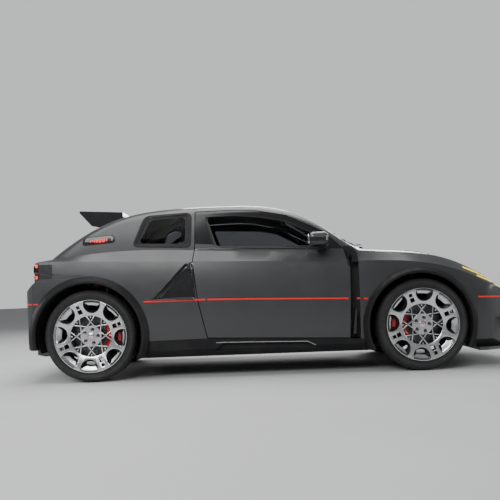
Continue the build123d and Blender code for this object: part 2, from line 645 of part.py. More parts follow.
def make_rim():
    """Rim with eight round pockets in pairs, four pairs of square holes and a cross-laced lattice centre."""
    barrel = turned([
        (RIM_LIP_RADIUS, RIM_HALF_WIDTH), (RIM_LIP_RADIUS, RIM_HALF_WIDTH - 7), (BEAD_RADIUS, RIM_HALF_WIDTH - 13),
        (BEAD_RADIUS, 72), (BEAD_RADIUS - 22, 52), (BEAD_RADIUS - 22, -42), (BEAD_RADIUS, -74),
        (BEAD_RADIUS, 13 - RIM_HALF_WIDTH), (RIM_LIP_RADIUS, 7 - RIM_HALF_WIDTH), (RIM_LIP_RADIUS, -RIM_HALF_WIDTH),
        (RIM_LIP_RADIUS - 8, -RIM_HALF_WIDTH), (BEAD_RADIUS - BARREL_WALL, 20 - RIM_HALF_WIDTH),
        (BEAD_RADIUS - BARREL_WALL, -78), (BEAD_RADIUS - 22 - BARREL_WALL, -46),
        (BEAD_RADIUS - 22 - BARREL_WALL, 56), (BEAD_RADIUS - BARREL_WALL, 78),
        (BEAD_RADIUS - BARREL_WALL, RIM_HALF_WIDTH - 14), (RIM_LIP_RADIUS - 8, RIM_HALF_WIDTH),
    ])
    edge = BEAD_RADIUS - BARREL_WALL + 1
    inner_y = FACE_Y - FACE_DISH
    face = turned([(edge, FACE_Y), (INNER_RING_RADIUS, inner_y), (INNER_RING_RADIUS, inner_y - FACE_THICK),
                   (edge, FACE_Y - FACE_THICK)])
    for quarter in range(4):
        for side in (-1, 1):
            x, z = around(POCKET_CENTRE, POCKET_PAIR_DEG + 90 * quarter + side * POCKET_HALF_SPREAD)
            face = face - cylinder_y(POCKET_RADIUS, x, z, 0, FACE_Y + 20)
        for radius, size in SQUARES:
            face = face - face_slab(radius, SQUARE_DEG + 90 * quarter, size, size, 0, FACE_Y + 20)
    band = turned([(INNER_RING_RADIUS + RING_BAND, inner_y), (INNER_RING_RADIUS, inner_y),
                   (INNER_RING_RADIUS, inner_y - FACE_THICK), (INNER_RING_RADIUS + RING_BAND, inner_y - FACE_THICK)])
    hub = turned([(0, HUB_FACE_Y), (HUB_RADIUS, HUB_FACE_Y), (HUB_RADIUS, HUB_FACE_Y - 24), (62, HUB_FACE_Y - 34),
                  (DISC_HAT_RADIUS, HUB_SEAT_Y), (0, HUB_SEAT_Y)])
    rim = barrel + face + band + hub
    spokes = []
    y_high = inner_y
    for step in range(SPOKE_COUNT):
        middle = 360 / SPOKE_COUNT * step
        for side in (-1, 1):
            crossing = Vector(*around(CROSSING_RADIUS, middle))
            outer = Vector(*around(INNER_RING_RADIUS + 6, middle + side * SPOKE_SPREAD_DEG))
            along = (outer - crossing).normalized()
            inner = crossing - along * (CROSSING_RADIUS - HUB_RADIUS + 34)
            centre = (outer + inner) / 2
            angle = math.degrees(math.atan2(along.Y, along.X))
            bar = Box((outer - inner).length, SPOKE_DEPTH, SPOKE_WIDTH)
            spokes.append(Pos(centre.X, y_high - SPOKE_DEPTH / 2, centre.Y) * Rot(0, -angle, 0) * bar)
    rim = rim + spokes
    for step in range(LUG_COUNT):
        x, z = around(LUG_CIRCLE / 2, LUG_START_DEG + 360 / LUG_COUNT * step)
        rim = rim - cylinder_y(LUG_HOLE / 2, x, z, HUB_FACE_Y - 14, HUB_FACE_Y + 5)
    disc = turned([(DISC_RADIUS, DISC_Y[1]), (DISC_RADIUS, DISC_Y[0]), (DISC_HAT_RADIUS - 10, DISC_Y[0]),
                   (DISC_HAT_RADIUS - 10, HUB_SEAT_Y - 8), (0, HUB_SEAT_Y - 8), (0, HUB_SEAT_Y),
                   (DISC_HAT_RADIUS, HUB_SEAT_Y), (DISC_HAT_RADIUS, DISC_Y[1])])
    bore = cylinder_y(SPINDLE_RADIUS + SPINDLE_PLAY, 0, 0, -FAR, HUB_FACE_Y - 30)
    return rim + disc - bore


def make_tyre():
    """Tyre with its bulging sidewalls and flat tread, open at the bead."""
    half = TYRE_WIDTH / 2
    bead = BEAD_RADIUS + BEAD_PLAY
    lip = RIM_LIP_RADIUS + 1

    def half_section(sign, shrink):
        top = TYRE_RADIUS - shrink
        wide = half - shrink
        return [
            (bead, sign * (RIM_HALF_WIDTH - 16.5 - shrink)),
            (lip + 2, sign * (RIM_HALF_WIDTH - 9 - shrink)),
            (lip + 28, sign * wide),
            (top - 22, sign * (wide - 6)),
            (top, sign * (wide - 28)),
        ]

    def section(shrink):
        bead_in, wall, bulge, shoulder, tread = half_section(1, shrink)
        low = half_section(-1, shrink)
        points = [low[0], low[1], low[2], low[3], low[4], tread, shoulder, bulge, wall, bead_in]
        points = [Vector(*point) for point in points]
        edges = [
            Edge.make_line(points[0], points[1]),
            Edge.make_three_point_arc(points[1], points[2], points[3]),
            Edge.make_line(points[3], points[4]),
            Edge.make_line(points[4], points[5]),
            Edge.make_line(points[5], points[6]),
            Edge.make_three_point_arc(points[6], points[7], points[8]),
            Edge.make_line(points[8], points[9]),
            Edge.make_line(points[9], points[0]),
        ]
        return make_face(Wire(edges))

    return revolve(section(0), axis=Axis.Y) - revolve(section(TYRE_WALL), axis=Axis.Y)


def make_knuckle(caliper_side):
    """Upright with its spindle, two ball-joint eyes and the brake caliper; caliper_side is +1 for ahead."""
    eye_low = KNUCKLE_HALF_HEIGHT - 30
    plate = block((-36, 36), (-KINGPIN_IN - 20, -KINGPIN_IN + 2), (-KNUCKLE_HALF_HEIGHT + 4, KNUCKLE_HALF_HEIGHT - 4))
    flange = cylinder_y(58, 0, 0, -KINGPIN_IN - 24, -KINGPIN_IN + 6)
    spindle = cylinder_y(SPINDLE_RADIUS, 0, 0, -KINGPIN_IN, HUB_FACE_Y - 32)
    knuckle = plate + flange + spindle
    for side in (-1, 1):
        eye = Pos(0, -KINGPIN_IN, side * (eye_low + 15)) * Cylinder(24, 30)
        bore = Pos(0, -KINGPIN_IN, side * (eye_low + 15)) * Cylinder(BALL_PIN + PIN_PLAY, 60)
        knuckle = knuckle + eye - bore
    reach = 222
    body = cylinder_y(reach, 0, 0, DISC_Y[0] - 24, DISC_Y[1] + 26) - cylinder_y(112, 0, 0, -FAR, FAR)
    near, far = sorted((caliper_side * 96, caliper_side * FAR))
    body = body & block((near, far), (-FAR, FAR), (-86, 86))
    slot = cylinder_y(DISC_RADIUS + CALIPER_PLAY, 0, 0, DISC_Y[0] - CALIPER_PLAY, DISC_Y[1] + CALIPER_PLAY)
    body = body - slot
    near, far = sorted((caliper_side * 20, caliper_side * 150))
    bracket = block((near, far), (-KINGPIN_IN - 18, DISC_Y[0] - CALIPER_PLAY), (-30, 30))
    return knuckle + body + bracket


def make_wheels():
    """All wheels, uprights and tyres, each in its place."""
    rim = make_rim()
    tyre = make_tyre()
    parts = {}
    rear_uprights = []
    for axle, x, caliper_side in (("front", AXLE_FRONT, -1), ("rear", AXLE_REAR, 1)):
        knuckle = make_knuckle(caliper_side)
        for side, sign in SIDES.items():
            place = Pos(x, sign * WHEEL_Y, TYRE_RADIUS)
            turn = Rot(0, 0, 0) if sign > 0 else Rot(0, 0, 180)
            parts[f"wheel_{axle}_{side}"] = place * turn * rim
            parts[f"tyre_{axle}_{side}"] = place * turn * tyre
            upright = Pos(x, WHEEL_Y, TYRE_RADIUS) * knuckle
            if sign < 0:
                upright = mirrored(upright)
            if axle == "front":
                parts[f"knuckle_{axle}_{side}"] = upright
            else:
                rear_uprights.append(upright)
    return parts, rear_uprights


SUBFRAME_Y = 330
ARM_THICK = 22
DAMPER_RADIUS = 24
SPRING_RADIUS = 44


def make_suspension(axle):
    """Subframe beam with a tower, two wishbones and a spring strut on each side."""
    x = ARCHES[axle][0]
    kingpin_y = WHEEL_Y - KINGPIN_IN
    beam = block((x - 190, x + 190), (-SUBFRAME_Y, SUBFRAME_Y), (FLOOR_TOP + 0.3, FLOOR_TOP + 60))
    tower = block((x - 150, x + 150), (SUBFRAME_Y - 50, SUBFRAME_Y), (FLOOR_TOP + 60.3, TYRE_RADIUS + 170))
    tower = tower - cylinder_y(40, x, TYRE_RADIUS, 0, FAR)
    pieces = [beam, tower, mirrored(tower)]
    for level in (-1, 1):
        ball_z = TYRE_RADIUS + level * (KNUCKLE_HALF_HEIGHT + 0.3)
        inner_half = 130 if level < 0 else 100
        outline = [(x - inner_half, SUBFRAME_Y + 0.3), (x - inner_half + 46, SUBFRAME_Y + 0.3),
                   (x, SUBFRAME_Y + 170), (x + inner_half - 46, SUBFRAME_Y + 0.3),
                   (x + inner_half, SUBFRAME_Y + 0.3), (x + 22, kingpin_y + 4), (x - 22, kingpin_y + 4)]
        plate = extrude(polygon(outline, Plane.XY), amount=ARM_THICK)
        low_z = ball_z if level > 0 else ball_z - ARM_THICK
        plate = Pos(0, 0, low_z) * plate
        pin_z = ball_z - level * 12
        pin = Pos(x, kingpin_y, pin_z) * Cylinder(BALL_PIN, 24 + ARM_THICK)
        plate = plate + Pos(x, kingpin_y, low_z + ARM_THICK / 2) * Cylinder(22, ARM_THICK) + pin
        pieces += [plate, mirrored(plate)]
    side_y = SUBFRAME_Y + 215
    foot_z = TYRE_RADIUS + KNUCKLE_HALF_HEIGHT + 0.3 + ARM_THICK + 0.3
    top_z = TYRE_RADIUS + HOUSING_RADIUS - 7
    spring = Pos(x, side_y, (foot_z + top_z) / 2 + 10) * Cylinder(SPRING_RADIUS, top_z - foot_z - 60)
    rod = Pos(x, side_y, (foot_z + top_z) / 2) * Cylinder(DAMPER_RADIUS, top_z - foot_z)
    pieces += [spring + rod, mirrored(spring + rod)]
    return pieces



FIREWALL_X = place_x(690)
BULKHEAD_X = place_x(-800)
SHEET = 12
CABIN_LOW = block((-FAR, FAR), (-HALF_WIDTH + 190, HALF_WIDTH - 190), (FLOOR_TOP, RIDE_HEIGHT + DOOR_THICK + 1))
CABIN_INNER = WALL_INNER + CABIN_LOW


def make_inner_body():
    """Firewall, rear bulkhead, wheel housings and the pillars that carry the door hinges."""
    wide = PILLAR_Y - 0.3
    firewall = block((FIREWALL_X, FIREWALL_X + SHEET), (-wide, wide), (FLOOR_TOP, 1200)) & CABIN_INNER
    bulkhead = block((BULKHEAD_X - SHEET, BULKHEAD_X), (-FAR, FAR), (FLOOR_TOP, 940)) & CABIN_INNER
    pieces = [firewall, bulkhead]
    beside_sill = grown(SILL_OUTLINE, SEAM, HALF_WIDTH - 160.5, FAR)
    for axle, inside in (("front", THIN_INNER), ("rear", WALL_INNER)):
        x, outer, inner, behind, low_y = ARCHES[axle]
        ring = cylinder_y(HOUSING_RADIUS + HOUSING_WALL, x, TYRE_RADIUS, low_y, FAR)
        ring = ring - cylinder_y(HOUSING_RADIUS, x, TYRE_RADIUS, 0, FAR + 10)
        ring = (ring & inside & block((-FAR, FAR), (0, FAR), (RIDE_HEIGHT + 62, FAR))) - beside_sill
        pieces += solids_of(both(ring))
    pillar = block((place_x(566), FIREWALL_X + SHEET), (PILLAR_Y, PILLAR_Y + HINGE_RAIL), (268, 852.5))
    for height in HINGE_HEIGHTS:
        arm = block((HINGE_X - 14, HINGE_X + 14), (PILLAR_Y, HINGE_Y), (height - 9, height + 9))
        eye = Pos(HINGE_X, HINGE_Y, height) * Cylinder(14, 18)
        pin = Pos(HINGE_X, HINGE_Y, height) * Cylinder(HINGE_PIN, 96)
        pillar = pillar + arm + eye + pin
    vane = side_prism([(606, 300), (628, 300), (640, 480), (630, 500)], PILLAR_Y + HINGE_RAIL - 1, HALF_WIDTH - 66)
    pillar = pillar + vane
    return Compound([solid for piece in pieces for solid in solids_of(piece)] + solids_of(both(pillar)))


def steered_tyres():
    """Both front tyres in steps from lock to lock, each with its clearance."""
    half = TYRE_WIDTH / 2 + STEER_PLAY
    steps = 8
    tyres = []
    for side in SIDES.values():
        low, high = sorted((side * (KINGPIN_IN - half), side * (KINGPIN_IN + half)))
        tyre = cylinder_y(TYRE_RADIUS + STEER_PLAY, 0, TYRE_RADIUS, low, high)
        kingpin = Pos(AXLE_FRONT, side * (WHEEL_Y - KINGPIN_IN), 0)
        tyres += [kingpin * Rot(0, 0, STEER_LOCK_DEG * (2 * step / steps - 1)) * tyre for step in range(steps + 1)]
    return tyres


def make_floor():
    """Flat floor with the wheel wells cut out."""
    floor = FORM & block((RAMP_START[0], place_x(1562)), (-FAR, FAR), (0, FLOOR_TOP))
    for axle, (x, outer, inner, behind, low_y) in ARCHES.items():
        well = block((x - HOUSING_RADIUS, x + HOUSING_RADIUS), (low_y, FAR), (0, FAR))
        floor = floor - well - mirrored(well)
    side = block((place_x(-1095), place_x(835)), (HALF_WIDTH - 160.5, FAR), (0, FAR))
    return floor - side - mirrored(side)


def make_splitter():
    """Splitter plate under the nose, with a small canard on each side of the bumper."""
    plate = plan_prism(PLAN_HALF, RIDE_HEIGHT - 25, RIDE_HEIGHT - SEAM, PLAN_ROUND)
    plate = plate & block((place_x(1572), FAR), (-HALF_WIDTH + 50, HALF_WIDTH - 50), (0, FAR))
    canard = Pos(place_x(1812), place_y(822), 366) * Rot(0, 16, 0) * Box(130, 110, 8)
    return Compound(solids_of(plate) + solids_of(both(canard - FORM)))


def make_grille():
    """Mesh plates behind the three openings of the nose."""
    centre = block((place_x(1838), place_x(1848)), (-FAR, FAR), (RIDE_HEIGHT + PANEL, 500)) & THIN_INNER
    side = block((place_x(1730), place_x(1740)), (600, FAR), (270, 500)) & THIN_INNER
    return Compound(solids_of(centre) + solids_of(both(side)))


def make_flares():
    """Four wheel-arch flares, each a turned ring laid on the body."""
    flares = []
    for axle, (x, outer, inner, behind, low_y) in ARCHES.items():
        wide = HALF_WIDTH - FLARE_SEAT
        ring = turned([(inner, wide - 130), (inner, wide - 8), (inner + 8, wide), (inner + 20, wide - 1),
                       (outer - 4, wide - 27), (outer, wide - 33), (outer, wide - 130)])
        ring = Pos(x - behind, 0, TYRE_RADIUS) * ring
        low = RIDE_HEIGHT + 10
        ring = ring & block((-FAR, FAR), (0, FAR), (low, FAR))
        if axle == "rear":
            ring = ring - block((-FAR, x), (0, FAR), (0, 262))
        flares += solids_of(both(Pos(0, FLARE_SEAT, 0) * (ring - FORM)))
    return Compound(flares)


def ramp_z(x):
    """Height of the diffuser's underside at x."""
    share = (x - RAMP_START[0]) / (RAMP_END[0] - RAMP_START[0])
    return RAMP_START[1] + share * (RAMP_END[1] - RAMP_START[1])


def make_diffuser():
    """Rising ramp under the tail with upright fins."""
    (x0, z0), (x1, z1) = RAMP_START, RAMP_END
    ramp = polygon([(x0 - SEAM, z0), (x0 - SEAM, z0 + PANEL), (x1, z1 + PANEL), (x1, z1)], Plane.XZ)
    plate = Pos(0, -DIFFUSER_HALF, 0) * extrude(ramp, amount=2 * DIFFUSER_HALF, dir=(0, 1, 0))
    fin_start = x0 - 40
    fin = polygon([(fin_start, ramp_z(fin_start) + 5), (x1, z1 + 5), (x1, z1 - 95), (x1 + 60, z1 - 110)], Plane.XZ)
    for step in range(-2, 3):
        y = step * (DIFFUSER_HALF - 6) / 2
        plate = plate + Pos(0, y - 6, 0) * extrude(fin, amount=12, dir=(0, 1, 0))
    return plate


def make_exhaust():
    """Silencer on the diffuser's plate with two tail pipes."""
    x_rear, x_front = place_x(-1800), place_x(-1650)
    low = ramp_z(x_rear) + PANEL + 4
    box = fillet(block((x_rear, x_front), (-270, 270), (low, PIPE_Z + 64)).edges(), 14)
    feet = both(block((x_rear + 30, x_rear + 60), (180, 220), (ramp_z(x_rear + 30) + PANEL + 0.3, low + 20)))
    pipes = box + feet
    for y in (-PIPE_Y, PIPE_Y):
        pipe = tube_between((x_rear + 30, y, PIPE_Z), (place_x(-1974), y, PIPE_Z), PIPE_RADIUS)
        bore = tube_between((x_rear - 60, y, PIPE_Z), (place_x(-2000), y, PIPE_Z), PIPE_RADIUS - 4)
        pipes = pipes + pipe - bore
    return pipes


def make_spoiler():
    """Roof spoiler on the tailgate: a thin blade on two side plates."""
    half = place_y(553)
    blade = side_prism([(-1194, 1300), (-1194, 1338), (-1541, 1358), (-1549, 1350), (-1541, 1338), (-1320, 1300)],
                       -half, half)
    fin = side_prism([(-1194, 1300), (-1194, 1336), (-1541, 1352), (-1546, 1342), (-1452, 1235), (-1300, 1200)],
                     half - 16, half)
    spoiler = (blade + both(fin)) - FORM
    for name, moving, x, y, facing, ear_length in HINGES:
        if moving == "tailgate":
            spoiler = spoiler - block((place_x(x) - 32, FAR), (y - 44, y + 44), (0, FAR))
    return Compound(solids_of(spoiler))


def make_dashboard():
    """Dashboard with the steering column's boss."""
    half = HALF_WIDTH - 292
    profile = [(689.7, 560), (689.7, 912), (560, 918), (430, 898), (330, 850), (305, 790), (335, 700), (430, 600)]
    body = side_prism(profile, -half, half) & CABIN_INNER
    tip = COLUMN * Pos(0, 0, 60)
    boss = tip * Pos(0, 0, 150) * Cylinder(38, 300)
    bore = tip * Pos(0, 0, 60) * Cylinder(COLUMN_RADIUS + PIN_PLAY, 240)
    return body + (boss & block((-FAR, FIREWALL_X), (-FAR, FAR), (0, FAR))) - bore


STEER_CENTRE = (place_x(120), 370, 850)
STEER_RAKE = 22
STEER_RADIUS = 170
COLUMN_RADIUS = 14
COLUMN = Plane(origin=STEER_CENTRE, x_dir=(0, 1, 0),
               z_dir=(math.cos(math.radians(STEER_RAKE)), 0, -math.sin(math.radians(STEER_RAKE)))).location


def make_steering_wheel():
    """Round rim with three spokes on its column shaft."""
    rim = Torus(STEER_RADIUS, 14)
    hub = Cylinder(42, 30)
    shaft = Pos(0, 0, 80) * Cylinder(COLUMN_RADIUS, 160)
    wheel = rim + hub + shaft
    for degrees in (0, 180, 270):
        wheel = wheel + Rot(0, 0, degrees) * Pos(STEER_RADIUS / 2 + 10, 0, 0) * Box(STEER_RADIUS - 20, 36, 8)
    return COLUMN * wheel


SEAT_Y = 370
SEAT_WIDTH = 500
BOLSTER = 45


def make_seats():
    """Two bucket seats on their rails."""
    outer = [(70, 215), (95, 350), (60, 385), (-300, 330), (-455, 880), (-500, 935), (-575, 930), (-590, 880),
             (-440, 260), (-380, 215)]
    hollow = [(70, 335), (-345, 275), (-500, 850), (-420, 900), (150, 900), (150, 335)]
    low = SEAT_Y - SEAT_WIDTH / 2
    high = SEAT_Y + SEAT_WIDTH / 2
    seat = side_prism(outer, low, high) - side_prism(hollow, low + BOLSTER, high - BOLSTER)
    for y in (low + 40, high - 80):
        seat = seat + block((place_x(-360), place_x(40)), (y, y + 40), (FLOOR_TOP + 0.3, 216))
    return both(seat)


CAGE_TUBE = 20
HOOP_X = place_x(-700)


def make_roll_cage():
    """Main hoop, two front legs along the roof rails, two rear stays and the harness bar."""
    roof = ROOF_HEIGHT
    foot_z = FLOOR_TOP + 1.3
    hoop = [(HOOP_X, HALF_WIDTH - 260, foot_z), (HOOP_X, HALF_WIDTH - 250, 900),
            (HOOP_X, HALF_WIDTH - 375, roof - 125), (HOOP_X, 375 - HALF_WIDTH, roof - 125),
            (HOOP_X, 250 - HALF_WIDTH, 900), (HOOP_X, 260 - HALF_WIDTH, foot_z)]
    leg = [(HOOP_X, HALF_WIDTH - 375, roof - 125), (place_x(130), HALF_WIDTH - 385, roof - 160),
           (place_x(520), HALF_WIDTH - 258, 955), (place_x(560), HALF_WIDTH - 250, foot_z)]
    main = bent_tube(hoop)
    top = HALF_WIDTH - 375
    clear = CAGE_TUBE + 0.3
    fat_top = tube_between((HOOP_X, top + 60, roof - 125), (HOOP_X, -top - 60, roof - 125), clear)
    fat_side = tube_between(hoop[1], hoop[2], clear)
    front = [piece - fat_top - fat_side for piece in bent_tube(leg)]
    stay = tube_between((HOOP_X, top - 30, roof - 125), (AXLE_REAR, top, TYRE_RADIUS + HOUSING_RADIUS + 6), CAGE_TUBE)
    x, outer, inner, behind, low_y = ARCHES["rear"]
    housing = cylinder_y(HOUSING_RADIUS + HOUSING_WALL + 0.3, x, TYRE_RADIUS, 0, FAR)
    stay = stay - fat_top - fat_side - housing
    bar = tube_between((HOOP_X, HALF_WIDTH - 250, 860), (HOOP_X, 250 - HALF_WIDTH, 860), CAGE_TUBE)
    fat_leg = tube_between(hoop[0], hoop[1], clear)
    bar = bar - fat_leg - mirrored(fat_leg)
    bar = max(bar.solids(), key=lambda solid: solid.volume)
    pieces = main + front + [mirrored(piece) for piece in front] + [bar]
    stay = max(stay.solids(), key=lambda solid: solid.volume)
    pieces += [stay, mirrored(stay)]
    return Compound([max(piece.solids(), key=lambda solid: solid.volume) for piece in pieces])


def bent_tube(points):
    """Straight tubes along the points, each cut on the mitre where it meets the next."""
    points = [Vector(*point) for point in points]
    tubes = []
    for index in range(len(points) - 1):
        start, end = points[index], points[index + 1]
        along = (end - start).normalized()
        first = index == 0
        last = index == len(points) - 2
        tube = tube_between(tuple(start if first else start - along * CAGE_TUBE),
                            tuple(end if last else end + along * CAGE_TUBE), CAGE_TUBE)
        if not first:
            before = (start - points[index - 1]).normalized()
            mitre = Plane(origin=start + along * 0.15, z_dir=before + along)
            tube = split(tube, bisect_by=mitre, keep=Keep.TOP)
        if not last:
            after = (points[index + 2] - end).normalized()
            mitre = Plane(origin=end - along * 0.15, z_dir=after + along)
            tube = split(tube, bisect_by=mitre, keep=Keep.BOTTOM)
        tubes.append(tube)
    return tubes


def make_engine():
    """Engine and gearbox as one plain block ahead of the rear axle, on four feet."""
    x0, x1 = place_x(-1215), place_x(-850)
    block_body = fillet(block((x0, x1), (-300, 300), (230, 700)).edges(), 20)
    gearbox = block((AXLE_REAR - 90, x0 + 40), (-140, 140), (TYRE_RADIUS - 70, TYRE_RADIUS + 80))
    feet = [block((x, x + 60), (y - 30, y + 30), (FLOOR_TOP + 0.3, 260)) for x in (x0 + 30, x1 - 90)
            for y in (-200, 200)]
    return block_body + gearbox + feet


def build():
    """Every piece of the car, by name."""
    parts = make_body_panels()
    wheels, rear_uprights = make_wheels()
    parts.update(wheels)
    door, pane, door_mirror = make_door()
    for side in SIDES:
        pick = (lambda shape: shape) if side == "left" else mirrored
        parts[f"door_{side}"] = pick(door)
        parts[f"door_glass_{side}"] = pick(pane)
        parts[f"mirror_{side}"] = pick(door_mirror)
    parts["inner_body"] = make_inner_body()
    parts["floor_pan"] = make_floor()
    parts["front_splitter"] = make_splitter()
    parts["grille"] = make_grille()
    parts["arch_flares"] = make_flares()
    parts["rear_diffuser"] = make_diffuser()
    parts["exhaust"] = make_exhaust()
    parts["rear_spoiler"] = make_spoiler()
    parts["dashboard"] = make_dashboard()
    parts["steering_wheel"] = make_steering_wheel()
    parts["seats"] = make_seats()
    tyres = steered_tyres()
    for name in ("front_wings", "front_bumper", "arch_flares"):
        parts[name] = parts[name] - tyres
    parts["roll_cage"] = make_roll_cage()
    parts["engine_block"] = make_engine()
    front = make_suspension("front")
    parts["front_suspension"] = Compound([solid for piece in front for solid in piece.solids()])
    shaft = cylinder_y(18, AXLE_REAR, TYRE_RADIUS, 140.3, WHEEL_Y - KINGPIN_IN - 24.3)
    rear = make_suspension("rear") + rear_uprights + [shaft, mirrored(shaft)]
    parts["rear_suspension"] = Compound([solid for piece in rear for solid in piece.solids()])
    return parts


if __name__ == "__main__":
    os.makedirs("parts", exist_ok=True)
    for name, shape in build().items():
        export_step(Compound(solids_of(shape)), f"parts/{name}.step")
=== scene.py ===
import json
import math

import bpy
from mathutils import Matrix, Vector

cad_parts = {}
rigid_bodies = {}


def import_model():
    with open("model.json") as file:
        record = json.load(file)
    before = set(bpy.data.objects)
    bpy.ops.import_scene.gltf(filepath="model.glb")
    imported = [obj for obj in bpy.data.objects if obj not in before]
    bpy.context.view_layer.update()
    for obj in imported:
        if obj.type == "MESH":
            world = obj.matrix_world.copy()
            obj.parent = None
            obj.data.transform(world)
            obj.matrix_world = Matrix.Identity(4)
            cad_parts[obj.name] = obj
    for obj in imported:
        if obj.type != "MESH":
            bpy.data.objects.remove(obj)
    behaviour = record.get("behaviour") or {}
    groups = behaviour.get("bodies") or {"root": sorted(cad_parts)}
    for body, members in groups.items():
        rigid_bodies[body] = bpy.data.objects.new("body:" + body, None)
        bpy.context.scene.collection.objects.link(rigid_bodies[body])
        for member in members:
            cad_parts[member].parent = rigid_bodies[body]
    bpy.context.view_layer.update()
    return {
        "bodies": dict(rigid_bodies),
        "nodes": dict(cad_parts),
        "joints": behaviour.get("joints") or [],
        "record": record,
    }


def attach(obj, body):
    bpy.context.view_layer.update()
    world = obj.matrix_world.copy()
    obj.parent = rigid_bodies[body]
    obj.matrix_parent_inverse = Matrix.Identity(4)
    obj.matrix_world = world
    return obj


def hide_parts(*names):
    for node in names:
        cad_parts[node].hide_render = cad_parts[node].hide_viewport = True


# Looks of the three-door rally car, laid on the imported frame.
# Metres, +X forward, +Y left, +Z up, origin on the ground under the middle of the car.

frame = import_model()
nodes = frame["nodes"]


# ---- Camera, floor and light ----

def place_camera():
    """Long lens at the car's right side, turned a little so that the road climbs to the right."""
    data = bpy.data.cameras.new("side_camera")
    camera = bpy.data.objects.new("side_camera", data)
    bpy.context.scene.collection.objects.link(camera)
    data.sensor_width = 36
    data.lens = 18 / math.tan(math.radians(19.2))
    data.shift_y = 0.08
    data.clip_end = 200
    stand = Matrix.Translation((-0.181, -6.405, 0.667))
    level = Matrix.Rotation(math.radians(90), 4, "X")
    roll = Matrix.Rotation(math.radians(-2.09), 4, "Z")
    camera.matrix_world = stand @ level @ roll
    bpy.context.scene.camera = camera


def soft_box(name, place, aim, size, power, tint=(1, 1, 1)):
    """Rectangular studio lamp that looks at a point."""
    data = bpy.data.lights.new(name, "AREA")
    data.shape = "RECTANGLE"
    data.size, data.size_y = size
    data.energy = power
    data.color = tint
    lamp = bpy.data.objects.new(name, data)
    bpy.context.scene.collection.objects.link(lamp)
    lamp.location = place
    lamp.rotation_euler = (Vector(aim) - Vector(place)).to_track_quat("-Z", "Y").to_euler()
    lamp.visible_camera = False
    lamp.visible_transmission = False


def light_studio():
    """One broad box overhead, one at each side and a low one behind, over pale surroundings."""
    soft_box("overhead_box", (-0.6, 0.3, 5.2), (-0.2, 0, 0.6), (7.5, 3.2), 330)
    soft_box("right_side_box", (-3.0, -7.0, 4.2), (-0.4, 0, 0.6), (5.0, 2.4), 380)
    soft_box("left_side_box", (1.0, 7.6, 3.0), (0, 0, 0.6), (5.0, 2.6), 280)
    soft_box("nose_box", (7.2, -2.0, 2.4), (1.2, 0, 0.6), (3.4, 2.2), 150)
    soft_box("tail_box", (-7.2, 1.6, 2.8), (-1.2, 0, 0.7), (3.4, 2.2), 170)
    world = bpy.data.worlds.new("studio_air")
    bpy.context.scene.world = world
    world.use_nodes = True
    tree = world.node_tree
    back = tree.nodes["Background"]
    back.inputs["Color"].default_value = (0.62, 0.63, 0.65, 1)
    back.inputs["Strength"].default_value = 0.42
    seen = tree.nodes.new("ShaderNodeBackground")
    seen.inputs["Color"].default_value = (0.70, 0.71, 0.72, 1)
    seen.inputs["Strength"].default_value = 1.0
    path = tree.nodes.new("ShaderNodeLightPath")
    through = tree.nodes.new("ShaderNodeMath")
    through.operation = "MAXIMUM"
    tree.links.new(path.outputs["Is Camera Ray"], through.inputs[0])
    tree.links.new(path.outputs["Is Transmission Ray"], through.inputs[1])
    mix = tree.nodes.new("ShaderNodeMixShader")
    tree.links.new(through.outputs[0], mix.inputs["Fac"])
    tree.links.new(back.outputs[0], mix.inputs[1])
    tree.links.new(seen.outputs[0], mix.inputs[2])
    tree.links.new(mix.outputs[0], tree.nodes["World Output"].inputs["Surface"])


# Axles and wheels
AXLE_X = {"front": 1.140, "rear": -1.420}
TYRE_R = 0.356
HUB_Y = 0.7775
OFF_SIDE = 1.08     # beyond the flank, where pieces start that are dropped onto it

# ---- Finishes ----

